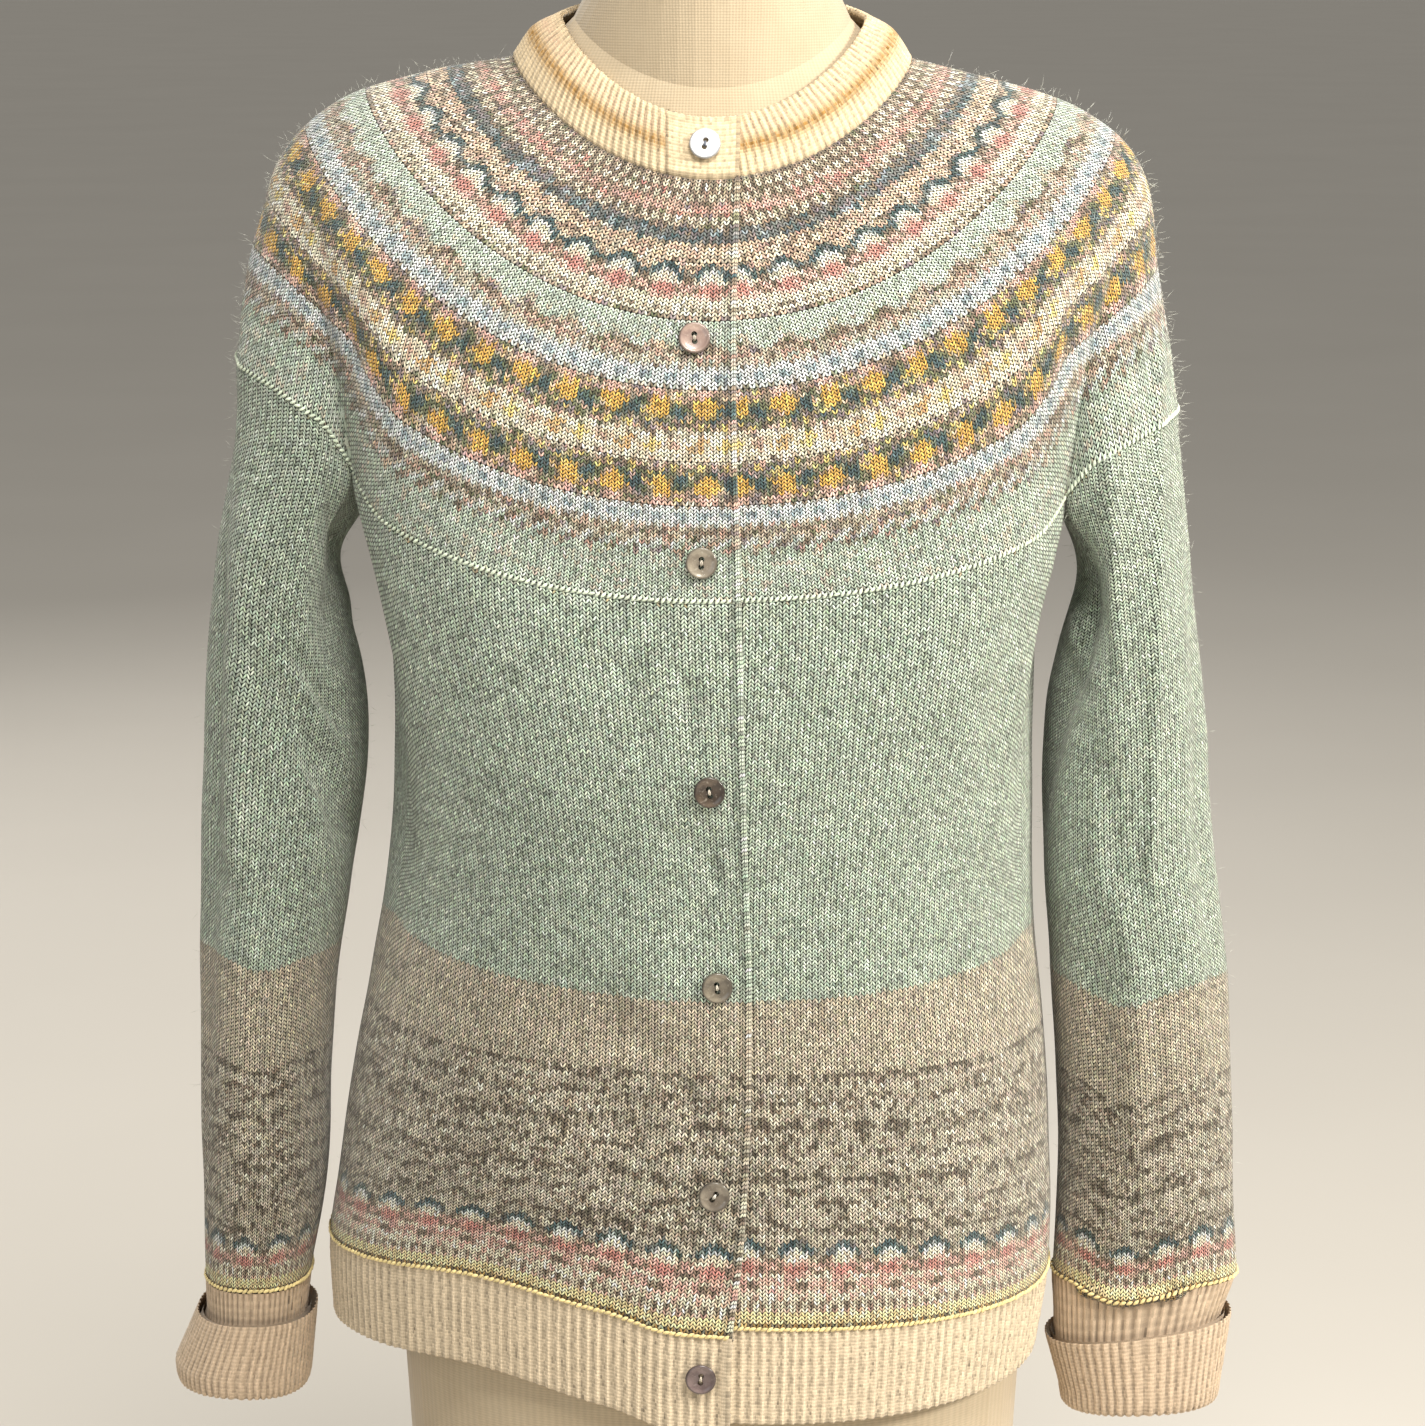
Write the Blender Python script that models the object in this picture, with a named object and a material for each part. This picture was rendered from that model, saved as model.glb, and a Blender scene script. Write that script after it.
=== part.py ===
"""A round-yoke cardigan, buttoned and worn by a limbless dress form on a low stand.

Metres, +Z up. The origin is on the floor under the middle of the stand. The
garment's front faces -Y, and its wearer's right side is at -X.

Every cloth piece is a wall through a grid of points, worked out from the tables
below. A table's row is one ring or one height, and its columns are named above it.
"""

import math

import bmesh
import bpy
import numpy as np
from mathutils import Vector

# ---------------------------------------------------------------- cloth
SEAM_GAP = 0.0003  # between pieces that are sewn together
RIDGE_GAP = 0.0011  # between the yoke and what hangs from it, where the armhole folds
HEM_GAP = 0.0007  # between the plain knit and the thicker ribbing of the hem
KNIT = 0.0018  # thickness of the fine plain knit
RIB = 0.0024  # thickness of the ribbing at hem and cuffs
NECK_RIB = 0.0026  # thickness of the doubled neckband
LAP_GAP = 0.0004  # between the two layers of the front lap

# The right front laps over the left one. Its edge wanders a little down the front.
LAP_COLUMNS = ("height", "edge_x", "button_x")
LAP = (
    (0.268, 0.0060, -0.0055),
    (0.307, 0.0070, -0.0045),
    (0.350, 0.0120, -0.0002),
    (0.400, 0.0150, 0.0010),
    (0.460, 0.0155, 0.0020),
    (0.550, 0.0125, -0.0013),
    (0.630, 0.0108, -0.0040),
    (0.740, 0.0088, -0.0075),
    (0.830, 0.0112, -0.0023),
)
LAP_UNDER_EDGE = -0.0170  # the edge of the left front, under the right one
LAP_RISE = 0.030  # how far the upper layer takes to climb over the lower one
LAP_SAG = 0.004  # how much lower than the under layer it hangs at the hem
LAP_SAG_FROM = 0.460  # the height where it starts to

# ---------------------------------------------------------------- yoke
# Rings from the neck seam (reach 0) to the ridge where the yoke ends (reach 1).
# side = wearer's right, other = wearer's left; crease = where the armhole fold runs,
# in degrees from the side, and how deep it is.
YOKE_COLUMNS = (
    "reach",
    "side_x",
    "side_z",
    "other_x",
    "other_z",
    "front_y",
    "front_z",
    "back_y",
    "back_z",
    "crease",
    "depth",
)
YOKE = (
    (0.0, 0.0870, 0.8520, 0.0870, 0.8505, -0.0620, 0.8025, 0.0600, 0.8560, 8.0, 0.000),
    (0.2, 0.1250, 0.8450, 0.1250, 0.8410, -0.0750, 0.7680, 0.0780, 0.8240, 10.0, 0.000),
    (0.4, 0.1635, 0.8325, 0.1620, 0.8285, -0.0870, 0.7330, 0.0900, 0.7860, 14.0, 0.000),
    (0.6, 0.1900, 0.8060, 0.1880, 0.8030, -0.0970, 0.6980, 0.0970, 0.7450, 23.0, 0.004),
    (0.8, 0.2005, 0.7660, 0.1968, 0.7540, -0.1040, 0.6640, 0.1000, 0.7040, 36.0, 0.013),
    (1.0, 0.2095, 0.7220, 0.2058, 0.6990, -0.1080, 0.6300, 0.1000, 0.6640, 44.5, 0.027),
)
CREASE_WIDTH = 7.0  # degrees over which the armhole fold opens
YOKE_POWER = (2.0, 2.25)  # how square the rings are at the neck and at the ridge
DROP_POWER = 1.6  # how a ring falls from the shoulder to the middle of the chest
DROP_ON_BODY = 1.42  # the same at the ridge, on the body side of the armhole fold
DROP_ON_SLEEVE = 3.0  # and on its sleeve side
YOKE_DEPTH = 0.200  # from the neck seam to the ridge, along the cloth
RIDGE_SHAPE_FROM = 0.45  # the reach where the ridge's own way of falling starts
PAST_FOLD = (0.62, 0.78)  # the sine of the angle where it turns from sleeve to body

# ---------------------------------------------------------------- body
# Rings of the body from its top to the bottom of the hem; side_rise is how much higher
# a ring runs at the side seams than in the middle.
BODY_COLUMNS = ("height", "side_x", "other_x", "front_y", "back_y", "side_rise")
BODY = (
    (0.650, 0.1450, 0.1450, -0.1060, 0.0980, 0.0000),
    (0.560, 0.1425, 0.1430, -0.1120, 0.0980, 0.0000),
    (0.480, 0.1480, 0.1450, -0.1090, 0.0960, -0.0010),
    (0.410, 0.1610, 0.1520, -0.1100, 0.1040, -0.0040),
    (0.345, 0.1715, 0.1550, -0.1130, 0.1100, -0.0050),
    (0.307, 0.1755, 0.1540, -0.1145, 0.1115, 0.0035),
    (0.268, 0.1745, 0.1490, -0.1150, 0.1120, 0.0090),
)
BODY_POWER = 2.3
BODY_TOP = 0.640  # mean height of the body's upper edge
HEM = 0.268  # height of the hem at the middle of the front
RIB_TOP = 0.307  # where the hem's ribbing starts
HEM_TILT = 0.045  # the hem hangs lower on the wearer's left, per metre of X
TILT_DOWN = (0.1, 0.8)  # how far down the body the tilt starts, and is whole
# The right front's ribbing is pulled up and in, most at this X and over this width.
SWING_X = -0.105
SWING_WIDTH = 0.055
SWING_UP = 0.010
SWING_IN = 0.008
SWING_DOWN = (0.66, 0.9)  # how far down it starts, and is whole
SWING_FADE = 0.060  # how far in front of the side seam it is whole
UNDERARM_X = 0.1530  # where sleeve and body meet under the arm
UNDERARM_Z = 0.661
UNDERARM_ANGLE = 20.0  # degrees of the body's ring that lie under the sleeve
SIDE_REACH = 0.145  # from the middle of the body to a side seam
EDGE_DOWN = 0.35  # how far down the body the slope of its upper edge is felt
BLEND_UNDER_ARM = 0.016  # over how many metres the body leaves its upper edge
BLEND_AT_RIDGE = 0.100
BLEND_ANGLES = (12.0, 32.0)  # degrees from the side, from the first blend to the second

# ---------------------------------------------------------------- sleeves
# Rings of a sleeve, from under the yoke to the wrist.
SLEEVE_COLUMNS = ("height", "outer_x", "inner_x", "front_y", "back_y")
RIGHT_SLEEVE = (
    (0.690, 0.2130, 0.1600, -0.0500, 0.0480),
    (0.620, 0.2230, 0.1640, -0.0490, 0.0480),
    (0.560, 0.2275, 0.1550, -0.0480, 0.0480),
    (0.505, 0.2305, 0.1600, -0.0460, 0.0470),
    (0.450, 0.2325, 0.1695, -0.0440, 0.0450),
    (0.395, 0.2335, 0.1750, -0.0420, 0.0430),
    (0.340, 0.2335, 0.1780, -0.0390, 0.0400),
    (0.298, 0.2335, 0.1860, -0.0330, 0.0340),
)
LEFT_SLEEVE = (
    (0.690, 0.2060, 0.1560, -0.0500, 0.0480),
    (0.620, 0.2140, 0.1590, -0.0490, 0.0480),
    (0.560, 0.2210, 0.1500, -0.0470, 0.0470),
    (0.505, 0.2255, 0.1490, -0.0440, 0.0450),
    (0.450, 0.2330, 0.1535, -0.0400, 0.0420),
    (0.395, 0.2370, 0.1575, -0.0360, 0.0390),
    (0.340, 0.2395, 0.1590, -0.0310, 0.0350),
    (0.298, 0.2420, 0.1575, -0.0270, 0.0300),
)
SLEEVE_POWER = 2.35
SLEEVE_TOP = 0.690  # mean height of a sleeve's upper edge
OUTER_ARC = 130.0  # degrees of a sleeve's ring, each way, that hang from the yoke
SLEEVE_EDGE_DOWN = 0.30  # how far down a sleeve the slope of its upper edge is felt
SLEEVE_BLEND_OUT = 0.075  # over how many metres a sleeve leaves its upper edge
SLEEVE_BLEND_IN = 0.025
SLEEVE_BLEND_ARC = (105.0, 150.0)  # degrees, from the first blend to the second
SLEEVE_MIDDLE = 0.190  # X of a sleeve's middle, which its folds pull towards
SLEEVE_RADIUS = 0.040

# The largest folds of the sleeves: soft troughs at an angle round the sleeve, from 0 at
# its outer side through -90 at its front, centred at a height, with their half length
# and half width in metres and how many degrees they lean over their length.
FOLD_COLUMNS = ("sleeve", "angle", "height", "half_length", "half_width", "depth", "lean")
FOLDS = (
    (-1, -42.0, 0.560, 0.170, 0.011, 0.0050, -8.0),
    (-1, -115.0, 0.555, 0.045, 0.010, 0.0045, 45.0),
    (-1, 60.0, 0.540, 0.150, 0.012, 0.0045, 10.0),
    (1, -140.0, 0.600, 0.070, 0.012, 0.0095, 30.0),
    (1, -35.0, 0.540, 0.150, 0.010, 0.0040, 6.0),
    (1, 55.0, 0.560, 0.160, 0.012, 0.0045, -10.0),
)

# ---------------------------------------------------------------- cuffs
# A cuff runs down from the sleeve, folds, and is turned up over itself.
CUFF_COLUMNS = ("level", "outer_x", "inner_x", "front_y", "back_y", "outer_z", "inner_z")
RIGHT_CUFF = (
    ("top", 0.2335, 0.1860, -0.0330, 0.0340, 0.2975, 0.2975),
    ("edge", 0.2345, 0.1870, -0.0310, 0.0320, 0.2810, 0.2810),
    ("fold", 0.2480, 0.1870, -0.0350, 0.0340, 0.2480, 0.2450),
)
LEFT_CUFF = (
    ("top", 0.2415, 0.1575, -0.0265, 0.0295, 0.2975, 0.2975),
    ("edge", 0.2365, 0.1580, -0.0255, 0.0275, 0.2790, 0.2670),
    ("fold", 0.2350, 0.1620, -0.0275, 0.0280, 0.2370, 0.2340),
)
TURN_SLOT = 0.0010  # between the cuff and its turned-up part
FOLD_HEIGHT = 0.0030  # thickness of the cuff at its fold
CUFF_TAPER = 0.0012  # how much the inner layer draws in from its top to the turned edge

# ---------------------------------------------------------------- neckband
NECK_COLUMNS = ("reach", "side_x", "side_z", "other_x", "other_z", "front_y", "front_z",
                "back_y", "back_z")
NECKBAND = (
    (0.0, 0.0863, 0.8532, 0.0863, 0.8516, -0.0614, 0.8041, 0.0594, 0.8574),
    (0.5, 0.0780, 0.8645, 0.0785, 0.8630, -0.0575, 0.8165, 0.0560, 0.8700),
    (1.0, 0.0670, 0.8700, 0.0680, 0.8690, -0.0525, 0.8275, 0.0530, 0.8800),
)
TAB_EDGE = -0.0195  # where the plain tab at the end of the neckband starts, along X
TAB_GAP = 0.0005  # between the tab and the band

# ---------------------------------------------------------------- buttons
BUTTON_RADIUS = 0.0067
BUTTON_THICKNESS = 0.0024
BUTTON_RIM = 0.0012  # width of the raised rim
BUTTON_DISH = 0.0005  # depth of the face inside the rim
HOLE_RADIUS = 0.0009
HOLE_SPACING = 0.0031
BUTTON_GAP = 0.0004
BUTTON_ARC = 2.0  # degrees and share of a piece's length, each way, that a button spans
BUTTON_SPAN = 0.04
# The piece a button lies on, and how far down that piece it is, from 0 to 1.
BUTTONS = (
    ("neckband", 0.52),
    ("yoke", 0.372),
    ("yoke", 0.905),
    ("body", 0.226),
    ("body", 0.471),
    ("body", 0.719),
    ("hem", 0.935),
)

# ---------------------------------------------------------------- dress form
# Rings of the form's torso, in the same directions as the garment's rings.
FORM_COLUMNS = (
    "side_x", "side_z", "other_z", "front_y", "front_z", "back_y", "back_z", "power"
)
FORM = (
    (0.0520, 0.9290, 0.9290, -0.0520, 0.9290, 0.0540, 0.9290, 2.0),
    (0.0550, 0.9240, 0.9240, -0.0550, 0.9240, 0.0570, 0.9240, 2.0),
    (0.0545, 0.8800, 0.8800, -0.0500, 0.8770, 0.0490, 0.8850, 2.0),
    (0.0600, 0.8690, 0.8680, -0.0465, 0.8400, 0.0480, 0.8760, 2.0),
    (0.0730, 0.8560, 0.8545, -0.0515, 0.8160, 0.0510, 0.8640, 2.0),
    (0.0850, 0.8492, 0.8477, -0.0575, 0.7990, 0.0555, 0.8500, 2.0),
    (0.1240, 0.8427, 0.8387, -0.0710, 0.7660, 0.0740, 0.8200, 2.05),
    (0.1570, 0.8310, 0.8262, -0.0830, 0.7310, 0.0860, 0.7820, 2.1),
    (0.1720, 0.8100, 0.8070, -0.0920, 0.6970, 0.0930, 0.7420, 2.15),
    (0.1690, 0.7700, 0.7680, -0.0990, 0.6620, 0.0950, 0.7020, 2.2),
    (0.1530, 0.7200, 0.7180, -0.1020, 0.6270, 0.0950, 0.6620, 2.2),
    (0.1365, 0.6600, 0.6600, -0.1055, 0.5900, 0.0930, 0.6200, 2.25),
    (0.1320, 0.5600, 0.5600, -0.1040, 0.5300, 0.0900, 0.5500, 2.3),
    (0.1310, 0.4800, 0.4800, -0.1010, 0.4700, 0.0890, 0.4750, 2.3),
    (0.1380, 0.4100, 0.4100, -0.1020, 0.4050, 0.0950, 0.4080, 2.3),
    (0.1420, 0.3400, 0.3400, -0.1050, 0.3380, 0.1010, 0.3390, 2.3),
    (0.1420, 0.2680, 0.2680, -0.1060, 0.2680, 0.1030, 0.2680, 2.3),
    (0.1380, 0.1980, 0.1980, -0.1020, 0.1980, 0.0990, 0.1980, 2.3),
    (0.1330, 0.1920, 0.1920, -0.0970, 0.1920, 0.0940, 0.1920, 2.3),
)
FORM_BOTTOM = 0.1920
POLE_RADIUS = 0.0125
SOCKET_RADIUS = 0.0300
SOCKET_HEIGHT = 0.0180
SOCKET_TAPER = 0.8  # its lower radius over its upper one
BASE_RADIUS = 0.1300
BASE_HEIGHT = 0.0160
BASE_CHAMFER = 0.0040

# ---------------------------------------------------------------- grids
FRONT = -90.0  # the angle at the middle of the front
NEAR_FRONT = np.linspace(FRONT - 30.0, FRONT + 30.0, 241)  # where an X is looked up
SIDE_BLEND = 0.3  # share of a ring's half width over which its two sides' sizes meet
PANEL_COLUMNS = 21
PANEL_ROWS = 9
BACK_COLUMNS = 29
LAP_DENSITY = 0.4  # how much closer together the columns are at the lap
YOKE_STEPS = 64
YOKE_ROWS = 8
SLEEVE_STEPS = 24
SLEEVE_ROWS = 13
NECK_STEPS = 44
NECK_ROWS = 3
TAB_STEPS = 6
FORM_STEPS = 48
ROUND_STEPS = 40
BUTTON_STEPS = 24
HOLE_STEPS = 10


def column(table, names, wanted):
    return np.array([row[names.index(wanted)] for row in table], float)


def smooth(at, knots, values):
    """A smooth curve through a table's column, read at any places."""
    knots, values = np.asarray(knots, float), np.asarray(values, float)
    if knots[0] > knots[-1]:
        knots, values = knots[::-1], values[::-1]
    slopes = np.gradient(values, knots)
    at = np.clip(np.asarray(at, float), knots[0], knots[-1])
    low = np.clip(np.searchsorted(knots, at, side="right") - 1, 0, len(knots) - 2)
    span = knots[low + 1] - knots[low]
    part = (at - knots[low]) / span
    start = (1 + 2 * part) * (1 - part) ** 2 * values[low]
    end = part**2 * (3 - 2 * part) * values[low + 1]
    lift = span * part * (1 - part) ** 2 * slopes[low]
    fall = span * part**2 * (part - 1) * slopes[low + 1]
    return start + end + lift + fall


def step(low, high, at):
    """0 below low, 1 above high, and a soft rise between."""
    part = np.clip((np.asarray(at, float) - low) / (high - low), 0.0, 1.0)
    return part * part * (3 - 2 * part)


def round_of(angle, power):
    """How far along X and along Y a ring of this squareness is, at an angle in degrees."""
    turn = np.radians(angle)
    across, along = np.cos(turn), np.sin(turn)
    across = np.sign(across) * np.abs(across) ** (2 / power)
    along = np.sign(along) * np.abs(along) ** (2 / power)
    return across, along


def stepped(across, side, other):
    return other + (side - other) * (1 - step(-SIDE_BLEND, SIDE_BLEND, across))


def lap_x(height, wanted):
    return smooth(height, column(LAP, LAP_COLUMNS, "height"), column(LAP, LAP_COLUMNS, wanted))


def front_angle(point, reach, x):
    """The angle near the middle of the front where a ring reaches this X."""
    return float(np.interp(x, point(NEAR_FRONT, reach)[:, 0], NEAR_FRONT))


def upper_edge(point, reach):
    """The angle of the upper layer's edge on a ring."""
    return front_angle(point, reach, lap_x(point(FRONT, reach)[2], "edge_x"))


def under_edge(point, reach):
    return front_angle(point, reach, LAP_UNDER_EDGE)


def lapped(points, thickness=KNIT):
    """Lifts the upper layer where it lies over the lower one, and lets it hang lower."""
    over = step(LAP_UNDER_EDGE - LAP_RISE, LAP_UNDER_EDGE, points[..., 0])
    over = np.where(points[..., 1] < 0, over, 0.0)
    raised = points.copy()
    raised[..., 1] -= (thickness + LAP_GAP) * over
    raised[..., 2] -= LAP_SAG * over * (1 - step(HEM, LAP_SAG_FROM, points[..., 2]))
    return raised


def ring_point(table, names, angle, reach, power, drop):
    """A point of a tilted ring round the neck."""
    across, along = round_of(angle, power)
    knots = column(table, names, "reach")

    def read(name):
        return smooth(reach, knots, column(table, names, name))

    wide = stepped(across, read("side_x"), read("other_x"))
    high = stepped(across, read("side_z"), read("other_z"))
    in_front = along < 0
    deep = np.where(in_front, -read("front_y"), read("back_y"))
    low = np.where(in_front, read("front_z"), read("back_z"))
    z = high + (low - high) * drop
    return np.stack([wide * across, deep * along, z], axis=-1)


def yoke_point(angle, reach):
    """A point of the yoke's outer face: angle round the neck, reach from neck to ridge."""
    angle, reach = np.broadcast_arrays(np.asarray(angle, float), np.asarray(reach, float))
    power = YOKE_POWER[0] + (YOKE_POWER[1] - YOKE_POWER[0]) * reach
    sine = np.abs(np.sin(np.radians(angle)))
    at_ridge = step(RIDGE_SHAPE_FROM, 1.0, reach)
    past_fold = step(*PAST_FOLD, sine)
    ridge_drop = sine**DROP_ON_SLEEVE * (1 - past_fold) + sine**DROP_ON_BODY * past_fold
    drop = sine**DROP_POWER * (1 - at_ridge) + ridge_drop * at_ridge
    point = ring_point(YOKE, YOKE_COLUMNS, angle, reach, power, drop)
    knots = column(YOKE, YOKE_COLUMNS, "reach")
    fold_at = smooth(reach, knots, column(YOKE, YOKE_COLUMNS, "crease"))
    depth = smooth(reach, knots, column(YOKE, YOKE_COLUMNS, "depth"))
    from_side = np.degrees(np.arcsin(np.clip(sine, 0, 1)))
    inward = depth * np.exp(-np.abs(from_side - fold_at) / CREASE_WIDTH)
    point[..., 1] -= np.sign(point[..., 1]) * inward
    return point


def fold_angle():
    """Where the armhole fold meets the ridge, in degrees from the side."""
    return YOKE[-1][YOKE_COLUMNS.index("crease")]


def underarm(side, place):
    """The seam under the arm, from the front (place -1) to the back (place 1)."""
    front = yoke_point(-fold_angle() if side > 0 else -180 + fold_angle(), 1.0)
    back = yoke_point(fold_angle() if side > 0 else 180 - fold_angle(), 1.0)
    place = np.asarray(place, float)[..., None]
    ends = front + (back - front) * (place + 1) / 2
    middle = np.array([side * UNDERARM_X, 0.0, UNDERARM_Z])
    bow = 1 - place**2
    straight = front + (back - front) / 2
    return ends + (middle - straight) * bow


def body_edge(angle):
    """The body's upper edge: the ridge of the yoke, and the seam under each arm."""
    angle = np.asarray(angle, float)
    turned = (angle + 180.0) % 360.0 - 180.0
    from_side = np.minimum(np.abs(turned), 180.0 - np.abs(turned))
    share = np.clip((from_side - UNDERARM_ANGLE) / (90.0 - UNDERARM_ANGLE), 0, 1)
    yoke_side = fold_angle() + share * (90.0 - fold_angle())
    left = np.abs(turned) < 90.0
    yoke_angle = np.where(left, yoke_side, 180.0 - yoke_side) * np.where(turned < 0, -1, 1)
    on_ridge = yoke_point(yoke_angle, 1.0)
    signed = np.where(turned < 0, -from_side, from_side) / UNDERARM_ANGLE
    place = np.clip(signed, -1, 1)
    under = np.where(left[..., None], underarm(1, place), underarm(-1, place))
    return np.where((from_side < UNDERARM_ANGLE)[..., None], under, on_ridge)


def body_ring(angle, height):
    across, along = round_of(angle, BODY_POWER)
    knots = column(BODY, BODY_COLUMNS, "height")

    def read(name):
        return smooth(height, knots, column(BODY, BODY_COLUMNS, name))

    wide = stepped(across, read("side_x"), read("other_x"))
    deep = np.where(along < 0, -read("front_y"), read("back_y"))
    return np.stack([wide * across, deep * along, height + 0 * across], axis=-1)


def body_point(angle, down):
    """A point of the body's outer face: down runs from the ridge (0) to the hem (1)."""
    angle, down = np.broadcast_arrays(np.asarray(angle, float), np.asarray(down, float))
    edge = body_edge(angle)
    level = BODY_TOP + (HEM - BODY_TOP) * down
    height = level + (edge[..., 2] - BODY_TOP) * np.exp(-((down / EDGE_DOWN) ** 2))
    ring = body_ring(angle, height)
    edge_ring = body_ring(angle, edge[..., 2])
    turned = (angle + 180.0) % 360.0 - 180.0
    from_side = np.minimum(np.abs(turned), 180.0 - np.abs(turned))
    past_arm = step(*BLEND_ANGLES, from_side)
    reach = BLEND_UNDER_ARM + (BLEND_AT_RIDGE - BLEND_UNDER_ARM) * past_arm
    travelled = (BODY_TOP - HEM) * down
    keep = np.exp(-((travelled / reach) ** 2))
    ring[..., :2] += (edge - edge_ring)[..., :2] * keep[..., None]
    hang = step(*TILT_DOWN, down)
    across = np.cos(np.radians(angle))
    heights = column(BODY, BODY_COLUMNS, "height")
    rise = smooth(level, heights, column(BODY, BODY_COLUMNS, "side_rise"))
    ring[..., 2] += rise * across**2 - HEM_TILT * ring[..., 0] * hang
    swing = np.exp(-(((ring[..., 0] - SWING_X) / SWING_WIDTH) ** 2)) * step(*SWING_DOWN, down)
    swing *= step(0.0, SWING_FADE, -ring[..., 1])
    ring[..., 1] += SWING_IN * swing
    ring[..., 2] += SWING_UP * swing
    return ring


def sleeve_table(side):
    return RIGHT_SLEEVE if side < 0 else LEFT_SLEEVE


def sleeve_edge(side, angle):
    """A sleeve's upper edge: the yoke's ridge outside, the underarm seam inside."""
    turned = (np.asarray(angle, float) + 180.0) % 360.0 - 180.0
    share = np.clip(turned / OUTER_ARC, -1, 1) * fold_angle()
    on_yoke = yoke_point(share if side > 0 else 180.0 - share, 1.0)
    inner = 180.0 - OUTER_ARC
    past = np.where(turned > 0, 180.0 - turned, -180.0 - turned) / inner
    under = underarm(side, np.clip(past, -1, 1))
    return np.where((np.abs(turned) > OUTER_ARC)[..., None], under, on_yoke)


def sleeve_ring(side, angle, height):
    across, along = round_of(angle, SLEEVE_POWER)
    table = sleeve_table(side)
    knots = column(table, SLEEVE_COLUMNS, "height")

    def read(name):
        return smooth(height, knots, column(table, SLEEVE_COLUMNS, name))

    middle = (read("outer_x") + read("inner_x")) / 2
    wide = (read("outer_x") - read("inner_x")) / 2
    deep = np.where(along < 0, -read("front_y"), read("back_y"))
    return np.stack([side * (middle + wide * across), deep * along, height], axis=-1)


def fold_depth(side, angle, height):
    """How far the sleeve's large folds pull its cloth in, at an angle and a height."""
    depth = np.zeros(np.broadcast(angle, height).shape)
    for sleeve, at, centre, half_length, half_width, deep, lean in FOLDS:
        if sleeve != side:
            continue
        along = (height - centre) / half_length
        away = (angle - at - lean * along + 180.0) % 360.0 - 180.0
        across = np.radians(away) * SLEEVE_RADIUS / half_width
        depth += deep * np.exp(-(along**2) - across**2)
    return depth


def sleeve_point(side, angle, down):
    """A point of a sleeve's outer face: 0 degrees is outside, -90 in front."""
    angle, down = np.broadcast_arrays(np.asarray(angle, float), np.asarray(down, float))
    edge = sleeve_edge(side, angle)
    wrist = sleeve_table(side)[-1][0]
    level = SLEEVE_TOP + (wrist - SLEEVE_TOP) * down
    height = level + (edge[..., 2] - SLEEVE_TOP) * np.exp(-((down / SLEEVE_EDGE_DOWN) ** 2))
    ring = sleeve_ring(side, angle, height)
    edge_ring = sleeve_ring(side, angle, edge[..., 2])
    turned = np.abs((angle + 180.0) % 360.0 - 180.0)
    inside = step(*SLEEVE_BLEND_ARC, turned)
    reach = SLEEVE_BLEND_OUT + (SLEEVE_BLEND_IN - SLEEVE_BLEND_OUT) * inside
    keep = np.exp(-(((SLEEVE_TOP - wrist) * down / reach) ** 2))
    ring[..., :2] += (edge - edge_ring)[..., :2] * keep[..., None]
    pull = fold_depth(side, angle, height) * (1 - keep)
    radial = np.stack([ring[..., 0] - side * SLEEVE_MIDDLE, ring[..., 1]], axis=-1)
    radial /= np.linalg.norm(radial, axis=-1, keepdims=True)
    ring[..., :2] -= radial * pull[..., None]
    return ring


def neck_point(angle, reach):
    """A point of the neckband's outer face: reach runs from its seam to its top."""
    angle, reach = np.broadcast_arrays(np.asarray(angle, float), np.asarray(reach, float))
    drop = np.abs(np.sin(np.radians(angle))) ** DROP_POWER
    return ring_point(NECKBAND, NECK_COLUMNS, angle, reach, 2.0, drop)


# ---------------------------------------------------------------- solids
def grid_normals(points, closed):
    """Outward unit normals of a grid whose first index runs down and second round."""
    if closed:
        ahead = np.roll(points, -1, axis=1) - np.roll(points, 1, axis=1)
    else:
        ahead = np.gradient(points, axis=1)
    down = np.gradient(points, axis=0)
    normal = np.cross(down, ahead)
    return normal / np.linalg.norm(normal, axis=-1, keepdims=True)


def wall_mesh(name, outer, inner, closed):
    """One closed wall between an outer and an inner grid of points."""
    rows, steps = outer.shape[:2]
    mesh = bmesh.new()
    skins = []
    for grid in (outer, inner):
        skins.append([[mesh.verts.new(point) for point in row] for row in grid])
    turns = steps if closed else steps - 1

    def face(*corners):
        mesh.faces.new(corners)

    top, low = skins
    for i in range(rows - 1):
        for j in range(turns):
            k = (j + 1) % steps
            face(top[i][j], top[i + 1][j], top[i + 1][k], top[i][k])
            face(low[i][j], low[i][k], low[i + 1][k], low[i + 1][j])
    for j in range(turns):
        k = (j + 1) % steps
        face(top[0][j], top[0][k], low[0][k], low[0][j])
        face(top[-1][j], low[-1][j], low[-1][k], top[-1][k])
    if not closed:
        for i in range(rows - 1):
            face(top[i][0], low[i][0], low[i + 1][0], top[i + 1][0])
            face(top[i][-1], top[i + 1][-1], low[i + 1][-1], low[i][-1])
    return finished(name, mesh)


def finished(name, mesh, sharp=40.0):
    """Turns a bmesh into an object, with its faces outward and its round parts smooth."""
    bmesh.ops.recalc_face_normals(mesh, faces=mesh.faces)
    bmesh.ops.triangulate(mesh, faces=mesh.faces)
    if mesh.calc_volume(signed=True) < 0:
        bmesh.ops.reverse_faces(mesh, faces=mesh.faces)
    data = bpy.data.meshes.new(name)
    mesh.to_mesh(data)
    mesh.free()
    data.shade_smooth()
    data.set_sharp_from_angle(angle=math.radians(sharp))
    thing = bpy.data.objects.new(name, data)
    bpy.context.scene.collection.objects.link(thing)
    return thing


def cloth(name, outer, thickness, closed=False):
    inner = outer - grid_normals(outer, closed) * thickness
    return wall_mesh(name, outer, inner, closed)


def spread(start, end, count, closer=0.0):
    """Evenly spaced values, or closer together at the start, up to closer = 1."""
    even = np.linspace(0.0, 1.0, count)
    return start + (end - start) * even ** (1.0 + closer)


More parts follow.
